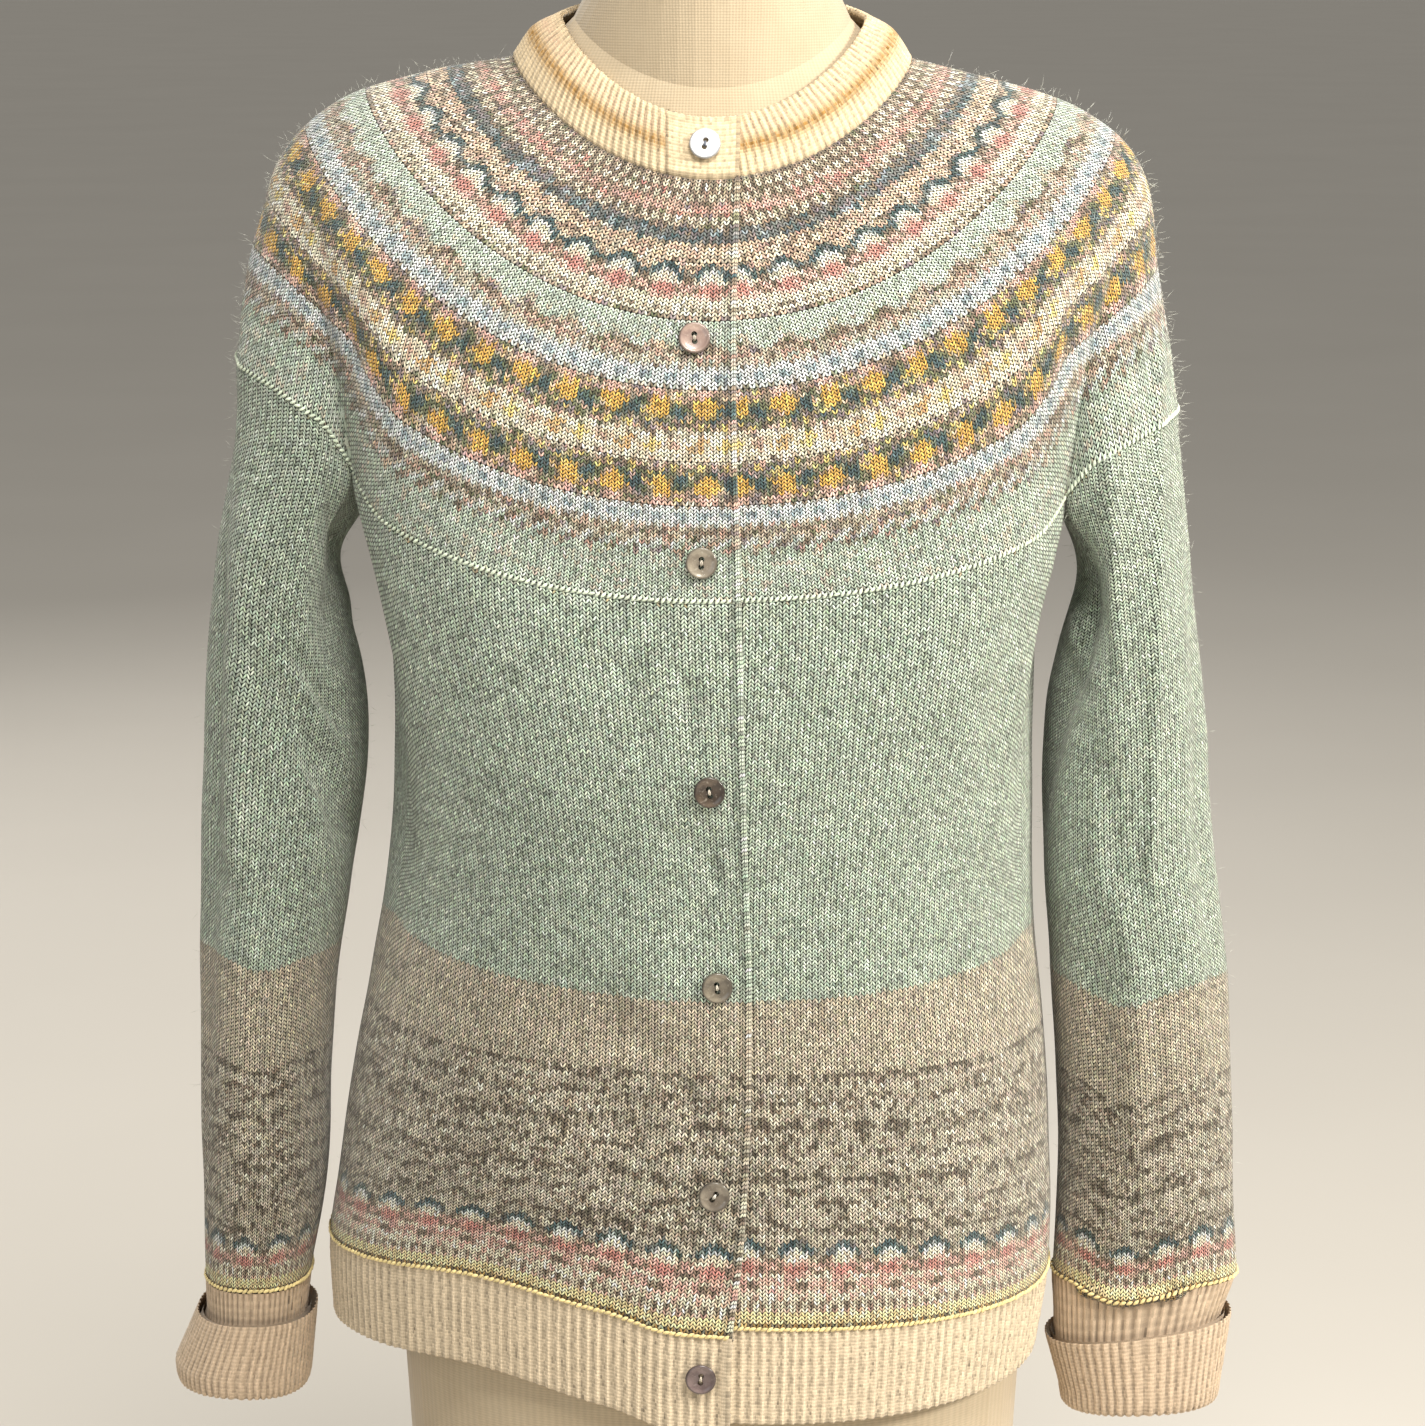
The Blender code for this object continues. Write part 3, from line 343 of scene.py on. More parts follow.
def sleeve_point(side, angle, down):
    """A point of a sleeve's outer face: 0 degrees is outside, -90 in front."""
    angle, down = floats(angle, down)
    edge = sleeve_edge(side, angle)
    level = SLEEVE_TOP + (WRIST - SLEEVE_TOP) * down
    height = level + (edge[..., 2] - SLEEVE_TOP) * np.exp(-((down / SLEEVE_EDGE_DOWN) ** 2))
    ring = sleeve_ring(side, angle, height)
    edge_ring = sleeve_ring(side, angle, edge[..., 2])
    inside = step(*SLEEVE_BLEND_ARC, np.abs(wrapped(angle)))
    reach = SLEEVE_BLEND_OUT + (SLEEVE_BLEND_IN - SLEEVE_BLEND_OUT) * inside
    keep = np.exp(-(((SLEEVE_TOP - WRIST) * down / reach) ** 2))
    ring[..., :2] += (edge - edge_ring)[..., :2] * keep[..., None]
    pull = np.zeros(angle.shape)
    for sleeve, at, centre, half_length, half_width, deep, lean in FOLDS:
        if sleeve == side:
            along = (height - centre) / half_length
            away = wrapped(angle - at - lean * along)
            across = np.radians(away) * SLEEVE_RADIUS / half_width
            pull += deep * np.exp(-(along**2) - across**2)
    ring[..., :2] -= outward(side, ring) * (pull * (1 - keep))[..., None]
    return ring


def neck_point(angle, reach):
    angle, reach = floats(angle, reach)
    drop = np.abs(np.sin(np.radians(angle))) ** DROP_POWER
    return ring_point(NECKBAND, angle, reach, 2.0, drop)


def yoke_edges(reach):
    """The angles where the yoke starts, under the lap, and ends, on top of it."""
    return under_edge(yoke_point, reach) - 360.0, upper_edge(yoke_point, reach)


def sleeve_edges(side):
    return lambda reach: (-180.0 * side, 180.0 * side)


def length_round(point, edges, reach):
    ring = point(np.linspace(*edges(reach), 721), reach)
    return np.linalg.norm(np.diff(ring, axis=0), axis=1).sum()


BODY_LENGTH, SLEEVE_LENGTH = BODY_TOP - HEM, SLEEVE_TOP - WRIST
SEAM_GAP = 0.00015
BODY_SEAM = math.degrees(SEAM_GAP / 0.145)
BODY_EDGES = {
    "right": lambda reach: (-180.0 + BODY_SEAM, upper_edge(body_point, reach)),
    "left": lambda reach: (under_edge(body_point, reach), -BODY_SEAM),
    "back": lambda reach: (BODY_SEAM, 180.0 - BODY_SEAM),
}


# ---------------------------------------------------------------- camera
TARGET = Vector((0.0, 0.0, 0.56))
DISTANCE, ELEVATION = 1.8, math.radians(11.5)
FOCAL_PX, PHOTO_WIDTH, PHOTO_HEIGHT = 4000.0, 1425, 1426


def add(thing, name):
    made = bpy.data.objects.new(name, thing)
    scene.collection.objects.link(made)
    return made


def make_camera():
    lens = bpy.data.cameras.new("camera")
    lens.sensor_width = 36.0
    lens.lens = FOCAL_PX / PHOTO_WIDTH * lens.sensor_width
    lens.clip_end = 200.0
    camera = add(lens, "camera")
    back = Vector((0.0, -math.cos(ELEVATION), math.sin(ELEVATION)))
    camera.location = TARGET + back * DISTANCE
    camera.rotation_euler = (-back).to_track_quat("-Z", "Y").to_euler()
    scene.camera = camera


def pixel(points):
    """Where points of the garment are in the photograph, in its pixels."""
    rise = points[..., 2] - TARGET.z
    sine, cosine = math.sin(ELEVATION), math.cos(ELEVATION)
    depth = DISTANCE + cosine * points[..., 1] - sine * rise
    px = PHOTO_WIDTH / 2 + FOCAL_PX * points[..., 0] / depth
    py = PHOTO_HEIGHT / 2 - FOCAL_PX * (cosine * rise + sine * points[..., 1]) / depth
    return px, py


# ---------------------------------------------------------------- yarns
def linear(red, green, blue):
    """A colour as a screen shows it, 0 to 255, as light."""
    shown = np.array([red, green, blue]) / 255.0
    return np.where(shown < 0.04045, shown / 12.92, ((shown + 0.055) / 1.055) ** 2.4)


YARNS = {
    "a": (84, 100, 92),
    "b": (140, 124, 106),
    "c": (248, 236, 208),
    "d": (162, 176, 180),
    "e": (118, 122, 92),
    "g": (206, 218, 200),
    "h": (238, 210, 132),
    "i": (212, 204, 184),
    "j": (206, 170, 152),
    "k": (122, 124, 120),
    "l": (146, 134, 136),
    "m": (230, 182, 96),
    "n": (226, 198, 170),
    "o": (220, 178, 124),
    "p": (234, 190, 174),
    "q": (176, 142, 86),
    "r": (210, 148, 136),
    "s": (190, 203, 184),
    "t": (82, 102, 104),
    "u": (202, 191, 168),
    "w": (226, 232, 228),
    "x": (188, 178, 158),
    "y": (250, 230, 176),
    "z": (118, 108, 92),
}
# Blended yarns: the yarns that each stitch is drawn from.
BLENDS = {
    "B": "bbxbejlnb",
    "E": "ssgsuxi",
    "H": "nnxbnjnc",
    "I": "iuixiubi",
    "J": "jjrjpb",
    "K": "kkdklkbt",
    "M": "uujxibxi",
    "S": "gsgsgsi",
    "T": "tttatk",
    "U": "ggsguxu",
    "X": "xizxuzxi",
    "Z": "zxzbzizx",
}
LETTERS = sorted(YARNS)
YARN_TABLE = np.array([linear(*YARNS[letter]) for letter in LETTERS])
LEG_SPREAD, STITCH_SPREAD, ROW_SPREAD, PATCH_SPREAD = 0.16, 0.08, 0.02, 0.035
FLECK_SHARE, PALE_FLECK, DARK_FLECK, BLEED = 0.10, 1.40, 0.62, 0.75
BRIGHTEST = 0.95


def charted(rows, stitches, chart, from_end=False):
    """Yarn numbers of a fabric. chart gives (row, strings), and each string repeats."""
    letters = np.full((rows, stitches), "s", dtype="<U1")
    places = np.arange(stitches)
    if from_end:
        places = stitches - 1 - places
    for row, strings in chart:
        for i, string in enumerate(strings):
            if 0 <= row + i < rows:
                spelled = np.array(list(string))
                letters[row + i] = spelled[places % len(string)]
    for blend, choice in BLENDS.items():
        spots = letters == blend
        letters[spots] = rng.choice(list(choice), int(spots.sum()))
    return np.searchsorted(LETTERS, letters)


def legs_of(yarns):
    """Colours of both legs of each stitch: the yarn, its heather, flecks and stray fibres."""
    rows, stitches = yarns.shape
    base = YARN_TABLE[yarns]
    shifts = ((1, 0), (-1, 0), (1, 1), (-1, 1))
    near = np.stack([np.roll(base, shift, axis) for shift, axis in shifts])
    pick = rng.integers(0, len(shifts), (rows, stitches, 2))
    i, k = np.indices((rows, stitches))
    beside = near[pick, i[..., None], k[..., None]]
    bleed = BLEED * rng.random((rows, stitches, 2, 1)) ** 2
    legs = base[:, :, None, :] * (1 - bleed) + beside * bleed
    shade = 1 + LEG_SPREAD * rng.standard_normal((rows, stitches, 2, 1))
    shade *= 1 + STITCH_SPREAD * rng.standard_normal((rows, stitches, 1, 1))
    shade *= 1 + ROW_SPREAD * rng.standard_normal((rows, 1, 1, 1))
    patches = rng.standard_normal((rows // 5 + 2, stitches // 4 + 2))
    shade *= 1 + PATCH_SPREAD * patches[i // 5, k // 4][..., None, None]
    fleck = rng.random((rows, stitches, 2, 1))
    light, dark = fleck < FLECK_SHARE, fleck > 1 - FLECK_SHARE
    shade = np.where(light, shade * PALE_FLECK, np.where(dark, shade * DARK_FLECK, shade))
    tint = 1 + 0.03 * rng.standard_normal((rows, stitches, 2, 3))
    colours = np.clip(legs * np.clip(shade, 0.4, 1.7) * tint, 0.0, BRIGHTEST)
    return colours.reshape(rows, stitches * 2, 3)


# ---------------------------------------------------------------- cloth
def grid_normals(points, closed=False):
    if closed:
        ahead = np.roll(points, -1, axis=1) - np.roll(points, 1, axis=1)
    else:
        ahead = np.gradient(points, axis=1)
    return unit(np.cross(np.gradient(points, axis=0), ahead))


def evenly(point, edges, low, high, rings=33, count=500):
    """Reads angles at even steps of length round the rings of a surface."""
    table = []
    for reach in np.linspace(low, high, rings):
        angles = np.linspace(*edges(reach), 1441)
        ring = point(angles, reach)
        run = np.cumsum(np.linalg.norm(np.diff(ring, axis=0), axis=1))
        run = np.concatenate([[0.0], run])
        table.append(np.interp(np.linspace(0.0, run[-1], count), run, angles))
    table = np.array(table)

    def angle_at(share, reach):
        row = np.clip((reach - low) / (high - low), 0, 1) * (rings - 1)
        col = np.clip(share, 0, 1) * (count - 1)
        i = np.minimum(row.astype(int), rings - 2)
        j = np.minimum(col.astype(int), count - 2)
        a, b = row - i, col - j
        upper = table[i, j] * (1 - b) + table[i, j + 1] * b
        lower = table[i + 1, j] * (1 - b) + table[i + 1, j + 1] * b
        return upper * (1 - a) + lower * a

    return angle_at


def finish_edge(points, side, kind, thickness, closed):
    """Adds three rows or columns past an open edge: rolled over, or tucked under."""
    axis = 0 if side in ("top", "bottom") else 1
    flip = side in ("top", "left")
    grid = np.moveaxis(points, axis, 0)
    normals = np.moveaxis(grid_normals(points, closed), axis, 0)
    if flip:
        grid, normals = grid[::-1], normals[::-1]
    edge, normal = grid[-1], normals[-1]
    out = edge - grid[-3]
    out = unit(out - normal * np.sum(out * normal, axis=-1, keepdims=True))
    half = thickness / 2
    if kind == "roll":
        turns = np.radians([50.0, 115.0, 180.0])
        profile = [(half * math.sin(t), half * (1 - math.cos(t))) for t in turns]
    else:
        profile = TUCK
    more = [edge + out * far - normal * deep for far, deep in profile]
    grid = np.concatenate([grid, np.array(more)])
    if flip:
        grid = grid[::-1]
    return np.moveaxis(grid, 0, axis)


def finish_edges(points, colours, maps, edges, thickness=KNIT, closed=False):
    """Finishes the named edges of a grid: edges maps a side to "roll" or "tuck"."""
    for side, kind in edges.items():
        points = finish_edge(points, side, kind, thickness, closed)
        colours = padded_faces(colours, side)
        maps = padded_faces(maps, side)
    return points, colours, maps


def padded_faces(values, side):
    """Repeats the colours of a grid's edge over the rows or columns added to it."""
    axis = 0 if side in ("top", "bottom") else 1
    first = side in ("top", "left")
    edge = np.take(values, [0 if first else -1], axis=axis)
    edge = np.repeat(edge, len(TUCK), axis=axis)
    return np.concatenate([edge, values] if first else [values, edge], axis=axis)


def mesh_of(name, points, faces, colours, maps):
    """A smooth mesh. Each face has its yarn's colour, and its corners have the maps."""
    corners = faces.shape[1]
    mesh = bpy.data.meshes.new(name)
    mesh.vertices.add(len(points))
    mesh.vertices.foreach_set("co", points.ravel())
    mesh.loops.add(faces.size)
    mesh.loops.foreach_set("vertex_index", faces.ravel())
    mesh.polygons.add(len(faces))
    mesh.polygons.foreach_set("loop_start", np.arange(0, faces.size, corners))
    mesh.polygons.foreach_set("use_smooth", np.ones(len(faces), bool))
    mesh.update(calc_edges=True)
    colours = np.concatenate([colours, np.ones((len(colours), 1))], axis=1)
    yarn = mesh.attributes.new("yarn", "FLOAT_COLOR", "CORNER")
    yarn.data.foreach_set("color", np.repeat(colours, corners, axis=0).ravel())
    for title, values in maps.items():
        layer = mesh.uv_layers.new(name=title, do_init=False)
        layer.data.foreach_set("uv", values.ravel())
    return mesh


class Cloth:
    """Gathers grids of points into one mesh with a yarn colour and a stitch map."""

    def __init__(self, name):
        self.name = name
        self.points, self.faces, self.colours, self.maps = [], [], [], []
        self.slots, self.sizes, self.strips, self.count = [], [], [], 0

    def grid(self, points, colours, stitch, closed=False, slot=0, detail=1.0, inward=False):
        rows, cols = points.shape[:2]
        turns = cols if closed else cols - 1
        index = self.count + np.arange(rows * cols).reshape(rows, cols)
        ahead = np.roll(index, -1, axis=1)[:, :turns]
        here = index[:, :turns]
        quads = np.stack([here[:-1], here[1:], ahead[1:], ahead[:-1]], axis=-1)
        stitch = np.broadcast_to(stitch, (rows - 1, turns, 4, 2))
        size = (rows - 1, turns)
        i, k = np.indices(size)
        wide = np.linalg.norm(np.diff(points[rows // 2], axis=0), axis=-1).sum()
        high = np.linalg.norm(np.diff(points[:, cols // 2], axis=0), axis=-1).sum()
        if inward:
            quads, stitch = quads[..., ::-1], stitch[..., ::-1, :]
        self.points.append(points.reshape(-1, 3))
        self.faces.append(quads.reshape(-1, 4))
        self.colours.append(np.broadcast_to(colours, size + (3,)).reshape(-1, 3))
        self.maps.append(stitch.reshape(-1, 4, 2))
        self.slots.append(np.full(size[0] * size[1], slot))
        self.sizes.append((wide, high, detail))
        self.strips.append((i.ravel(), k.ravel(), size, inward))
        self.count += rows * cols
        return index

    def rim(self, first, second, colours):
        """Joins two rings of as many points, so that a tube's two faces make one skin."""
        ahead = [np.roll(ring, -1) for ring in (first, second)]
        self.faces.append(np.stack([first, second, ahead[1], ahead[0]], axis=-1))
        self.colours.append(colours)
        self.maps.append(np.full((len(first), 4, 2), 0.5))
        self.slots.append(np.ones(len(first), int))
        self.sizes.append((0.2, 0.002, 1.0))
        places = np.arange(len(first))
        self.strips.append((0 * places, places, (1, len(first)), False))

    def bake_map(self):
        """Lays every grid out in strips across one square, in the order they were added."""
        total = sum(wide * high * detail for wide, high, detail in self.sizes)
        low, maps = 0.0, []
        for (wide, high, detail), (i, k, size, inward) in zip(self.sizes, self.strips):
            tall = wide * high * detail / total
            count = max(1, round(math.sqrt(tall * wide / high)))
            strip, place = np.divmod(k * count, size[1])
            left = place / size[1]
            right = np.minimum(left + count / size[1], 1.0)
            floor = low + tall * strip / count
            room = tall / count * 0.96
            top = floor + room * (1 - i / size[0])
            bottom = floor + room * (1 - (i + 1) / size[0])
            corners = [(left, top), (left, bottom), (right, bottom), (right, top)]
            if inward:
                corners = corners[::-1]
            maps.append(np.stack([np.stack(corner, axis=-1) for corner in corners], axis=1))
            low += tall
        return np.concatenate(maps) * 0.98 + 0.01

    def build(self, materials):
        maps = {"stitch": np.concatenate(self.maps), "OFBake": self.bake_map()}
        mesh = mesh_of(self.name, np.concatenate(self.points), np.concatenate(self.faces),
                       np.concatenate(self.colours), maps)
        mesh.polygons.foreach_set("material_index", np.concatenate(self.slots))
        for material in materials:
            mesh.materials.append(material)
        return add(mesh, self.name)


WALE_RELIEF, STAGGER = 0.00012, 0.4
TUCK = ((0.0004, 0.0003), (0.0012, 0.0009), (0.0022, 0.0017))
LEG_CORNERS = np.array(
    [[(0, 0), (0, 1), (1, 1), (1, 0)], [(1, 0), (1, 1), (0, 1), (0, 0)]], float)


def stitch_map(stitches, rows):
    """Each leg's own square: its long diagonal runs from (0, 0), at the top, to (1, 1)."""
    return np.broadcast_to(np.tile(LEG_CORNERS, (stitches, 1, 1)), (rows, stitches * 2, 4, 2))


def stitched(place, rows, stitches, shape, closed=False):
    """The points of a lattice of V stitches. place(share, row) is its smooth surface."""
    columns = 2 * stitches
    k = np.arange(columns if closed else columns + 1)
    j = np.arange(rows + 1, dtype=float)
    row = j[:, None] - STAGGER * (k[None, :] % 2 == 0)
    row[0], row[-1] = 0.0, rows
    row = np.clip(row, 0.0, rows)
    share = np.broadcast_to(k[None, :] / columns, row.shape)
    points = place(share, row)
    normals = grid_normals(points, closed)
    relief = np.where(k % 2 == 0, -WALE_RELIEF, WALE_RELIEF)[None, :] * np.ones_like(row)
    relief[0] = relief[-1] = 0.0
    if not closed:
        relief[:, 0] = relief[:, -1] = 0.0
    relief = relief + shape(points, normals)
    return points + normals * relief[..., None]


def crowded(place, row, across):
    """Where a coarse grid cuts a sheet's width: closer together where the sheet bends."""
    fine = np.linspace(0, 1, 3001)
    way = np.diff(place(fine[None, :], np.full((1, len(fine)), float(row)))[0], axis=0)
    length = np.maximum(np.linalg.norm(way, axis=1), 1e-9)
    bend = np.linalg.norm(np.diff(way / length[:, None], axis=0), axis=1)
    weight = length / length.sum() + np.pad(0.7 * bend / bend.sum(), (0, 1))
    at = np.concatenate([[0.0], np.cumsum(weight)]) / weight.sum()
    return np.interp(np.linspace(0, 1, across + 1), at, fine)


def skin_inside(cloth, place, rows, thickness, colours, shape, counts, closed=False,
                crowding=1.0):
    """The wrong side of a fabric: a coarser grid, one thickness further in."""
    across, down = counts
    share = np.linspace(0, 1, across + 1) if closed else crowded(place, rows, across)
    middle = (share[:-1] + share[1:]) / 2
    if closed:
        share = share[:-1]
    row = rows * np.linspace(0, 1, down + 1) ** crowding
    share, row = np.meshgrid(share, row)
    points = place(share, row)
    normals = grid_normals(points, closed)
    depth = shape(points, normals)
    points = points + normals * (depth - 0.12 * np.abs(depth) - thickness)[..., None]
    i = ((np.arange(down) + 0.5) / down) ** crowding * colours.shape[0]
    k = middle * colours.shape[1]
    near = colours[i.astype(int)][:, k.astype(int)]
    mean = colours.mean(axis=1)[i.astype(int)][:, None, :]
    coarse_map = np.array([(0, 0), (0, 6), (6, 6), (6, 0)], float)
    return cloth.grid(points, near * 0.3 + mean * 0.62, coarse_map, closed, slot=1,
                      detail=0.12, inward=True)


# Creases placed over the photograph, in its pixels: the side of the garment (-1
# front, 1 back, 0 both), the line's points from the top down, its half widths in pixels
# left and right of it, and its depth in metres. A negative depth is a ridge. A crease that
# crosses a seam is given to both pieces. Any other one starts and ends inside its own
# piece, or it pulls that piece's edge away from its neighbour.
def crease_shape(creases):
    def shape(points, normals):
        px, py = pixel(points)
        depth = np.zeros(px.shape)
        for side, line, widths, deep in creases:
            facing = step(-0.15, 0.35, side * normals[..., 1]) if side else 1.0
            nearest = np.full(px.shape, 1e9)
            left = np.zeros(px.shape, bool)
            for (ax, ay), (bx, by) in zip(line, line[1:]):
                dx, dy = bx - ax, by - ay
                part = ((px - ax) * dx + (py - ay) * dy) / (dx * dx + dy * dy)
                part = np.clip(part, 0, 1)
                away = np.hypot(px - ax - part * dx, py - ay - part * dy)
                left = np.where(away < nearest, dx * (py - ay) > dy * (px - ax), left)
                nearest = np.minimum(nearest, away)
            fade = 1.1 * sum(widths)
            ends = np.hypot(px - line[0][0], py - line[0][1]) / fade
            other = np.hypot(px - line[-1][0], py - line[-1][1]) / fade
            taper = (1 - np.exp(-(ends**2))) * (1 - np.exp(-(other**2)))
            spread = np.where(left, widths[0], widths[1])
            depth -= deep * np.exp(-((nearest / spread) ** 2)) * taper * facing
        wander = 0.00035 * np.sin(px / 23 + 1.7 * np.sin(py / 61)) * np.sin(py / 37 + px / 90)
        return depth + wander

    return shape


# The broad fold down the left front, which starts on the yoke.
BROAD_FOLD = ((-1, ((925, 400), (950, 560), (955, 700), (950, 860)), (105, 55), -0.0040),)
FRONT_RIGHT_CREASES = (
    (-1, ((596, 850), (640, 950), (712, 1065)), (42, 36), -0.0030),
    (-1, ((540, 1035), (600, 1105), (665, 1172)), (34, 34), 0.0022),
    (-1, ((612, 640), (640, 700), (650, 800)), (14, 14), 0.0014),
    (-1, ((686, 655), (690, 700), (686, 765)), (13, 10), 0.0022),
    (-1, ((700, 828), (712, 870), (720, 915)), (16, 10), 0.0026),
    (-1, ((640, 815), (700, 858)), (10, 10), 0.0014),
    (-1, ((676, 1050), (690, 1110), (700, 1165)), (16, 12), 0.0026),
    (-1, ((600, 1010), (650, 1055), (700, 1080)), (16, 16), 0.0014),
    (-1, ((714, 1015), (716, 1065)), (20, 16), -0.0014),
    (-1, ((360, 640), (400, 760), (405, 900)), (18, 18), 0.0018),
    (-1, ((430, 560), (520, 640)), (20, 20), -0.0010),
    (1, ((430, 600), (470, 760), (470, 960)), (22, 22), 0.0016),
    (1, ((560, 640), (600, 800)), (18, 18), 0.0012),
)
BACK_CREASES = (
    (1, ((430, 600), (470, 760), (470, 960)), (22, 22), 0.0018),
    (1, ((560, 640), (600, 800), (590, 980)), (18, 18), 0.0014),
    (1, ((720, 700), (700, 900)), (26, 26), -0.0012),
    (1, ((950, 620), (900, 780), (905, 980)), (22, 22), 0.0018),
    (1, ((820, 760), (850, 960)), (18, 18), 0.0010),
    (1, ((640, 960), (700, 1010), (780, 1000)), (24, 24), 0.0014),
)
FRONT_LEFT_CREASES = BROAD_FOLD + (
    (-1, ((1040, 560), (1000, 680), (990, 820)), (18, 18), 0.0018),
    (-1, ((900, 600), (860, 700), (850, 800)), (20, 20), 0.0010),
    (-1, ((780, 640), (800, 760)), (16, 16), 0.0010),
    (-1, ((960, 900), (930, 1040)), (22, 22), 0.0012),
    (-1, ((780, 1000), (840, 1060)), (14, 14), 0.0010),
)
# The ridges down the outside of the arms, which start on the yoke.
ARM_CREASES = (
    (-1, ((253, 190), (245, 400), (236, 560), (231, 700), (231, 900)), (10, 24), -0.0034),
    (-1, ((246, 200), (238, 400), (229, 560), (224, 700), (224, 900)), (5, 6), 0.0016),
    (-1, ((1157, 330), (1158, 560), (1154, 720), (1150, 900)), (5, 9), -0.0022),
    (1, ((1158, 330), (1160, 560), (1154, 900)), (9, 9), -0.0020),
    (1, ((245, 330), (240, 560), (236, 900)), (9, 9), -0.0020),
)
SLEEVE_RIGHT_CREASES = ARM_CREASES + (
    (0, ((330, 478), (336, 520), (348, 600)), (13, 28), 0.0070),
    (-1, ((276, 640), (318, 690), (352, 742)), (6, 16), 0.0046),
    (-1, ((290, 735), (325, 795), (345, 860)), (6, 14), 0.0026),
    (-1, ((262, 930), (256, 1060), (258, 1180)), (8, 14), 0.0016),
    (-1, ((300, 1020), (318, 1130)), (11, 11), 0.0012),
    (1, ((300, 640), (340, 760)), (11, 11), 0.0024),
    (1, ((250, 950), (260, 1100)), (14, 14), 0.0016),
)
SLEEVE_LEFT_CREASES = ARM_CREASES + (
    (0, ((1074, 500), (1080, 560), (1090, 650)), (28, 15), 0.0070),
    (-1, ((1108, 440), (1112, 560), (1118, 680)), (6, 10), -0.0024),
    (-1, ((1046, 560), (1070, 620), (1098, 700)), (10, 8), -0.0026),
    (-1, ((1075, 700), (1110, 800), (1120, 900)), (12, 12), 0.0016),
    (-1, ((1126, 880), (1138, 1000), (1140, 1080), (1136, 1190)), (16, 10), -0.0026),
    (-1, ((1092, 930), (1100, 1020), (1104, 1110)), (14, 14), 0.0022),
    (-1, ((1190, 980), (1186, 1180)), (12, 12), 0.0012),
    (1, ((1080, 640), (1110, 780)), (11, 11), 0.0024),
    (1, ((1150, 960), (1140, 1120)), (14, 14), 0.0016),
)
YOKE_CREASES = ARM_CREASES + BROAD_FOLD + (
    (-1, ((308, 225), (330, 290), (348, 335), (353, 390)), (6, 12), 0.0026),
    (-1, ((336, 200), (372, 290), (392, 380)), (14, 14), -0.0012),
    (-1, ((1084, 250), (1074, 310), (1066, 360), (1061, 400)), (8, 14), 0.0026),
    (-1, ((700, 250), (712, 330), (706, 420)), (14, 14), 0.0010),
    (1, ((330, 215), (352, 320), (372, 420)), (12, 12), 0.0020),
    (1, ((1075, 215), (1058, 320), (1045, 420)), (12, 12), 0.0020),
)

# How far the bands rise towards the body's side seams, by height, and how the sleeves'
# fabric sags: the fold's angle and half width, and how far it drops at each height.
SIDE_LIFT = tabled(
    "height lift",
    (0.600, 0.0000),
    (0.520, 0.0040),
    (0.458, 0.0130),
    (0.425, 0.0055),
    (0.360, 0.0010),
    (0.300, 0.0000),
)
RIGHT_SAG = (-92.0, 22.0, tabled(
    "height drop",
    (0.560, 0.0), (0.460, 0.0060), (0.380, 0.0060), (0.320, 0.0020), (0.298, 0.0)))
LEFT_SAG = (-105.0, 26.0, tabled(
    "height drop", (0.540, 0.0), (0.440, 0.0100), (0.340, 0.0105), (0.298, 0.0075)))

# ---------------------------------------------------------------- charts
ZIGZAG = (
    "HHHTTHHH",
    "HHTTTTHH",
    "HTTwwTTH",
    "TTwccwTT",
    "bTccccTb",
    "bccppccb",
    "pbprrpbp",
    "pbrrrrbp",
    "bpprrppb",
    "ccppppcc",
)
PEAKS = ("XTwccwTX", "XbccccbX", "bjccppcb", "pbjrrpjp", "pbrrrrbp", "bjprrpjb", "ccppppcc")
DOTS = ("cccccccc", "cccccccc", "cbcbcbcb", "cccccccc", "BBBBBBBB")
PINKS = ("pcppccpp", "ppjpbbpj", "jcpbbbpc", "pccppccp", "cpcccpcc")
HEM_ENDS = ("cjcccjcc", "bcbcbcbc", "bcbcbcbc", "jcjcjcjc") + ("yyyyyyyy",) * 3 + ("zqzqzqzq",)
FLOWERS = (
    "BBppBBBBBpppBBBB",
    "BppppBBBjBppBBhB",
    "BBpmBBBBeBmpmBjB",
    "BmmmmBBaeBmmmBhB",
    "BmmmmmtaeBmmmeae",
    "emmmmattBmmmmtte",
    "eBmmmetthBmmmatt",
    "BeBmetBaBehmeBtt",
    "heBetBlBehBteeBa",
    "eBhBlehBBtBhleBB",
    "jBheBBhjeBlBBheB",
    "cBBcBcBBcBBcBBcc",
)
MIRRORED = tuple(row[8:] + row[:8] for row in FLOWERS[::-1])
# The yoke's bands from the neck down: each group's stitches fit its own length round.
YOKE_GROUPS = (
    ("BbBb", "cbcb", "cbcb", "BbJb", "bcbc", "bcbc", "JBJb", "JJJB", "pJpJ", "JbJB")
    + ("cBcb", "cbcb", "bcbB", "KKbK", "KKKK", "KKKK", "KtKK", "HKHH") + ("HHHH",) * 4,
    ZIGZAG + DOTS,
    ("gggggggg", "gggggggg", "gggggggg", "ggUggggg", "gggUUggg", "UggUUggU")
    + ("ggMBBMgg", "gMBBBBMg", "MBBMMBBM", "BMMjjMMB", "MMjUUjMM", "MUMMMMUM")
    + ("wMwMwMwM", "wwwwwwww", "wddwwddw", "wddwwddw", "wwwwwwww", "wBwbwBwb"),
    FLOWERS
    + ("cBccccBcccBc", "cnncccoocchc", "cnjncooucchh", "cnjcouocnhhc", "ccnccooccchc")
    + ("cccccccccccc", "cBccBccBccBc"),
    MIRRORED,
    ("wbwBwbwB", "wwwwwwww", "wddwwddw", "wddwwddw", "wwwwwwww", "wMwBwMwB")
    + ("MBMMMjMM", "MMBBMMBB", "BBMMBBMM", "BMwMBMwM", "MwsMMwsM", "wsBBwsBB")
    + ("sBBssBBs", "sMssssMs", "EsssEsss") + ("SSSSSSSS",) * 11,
)
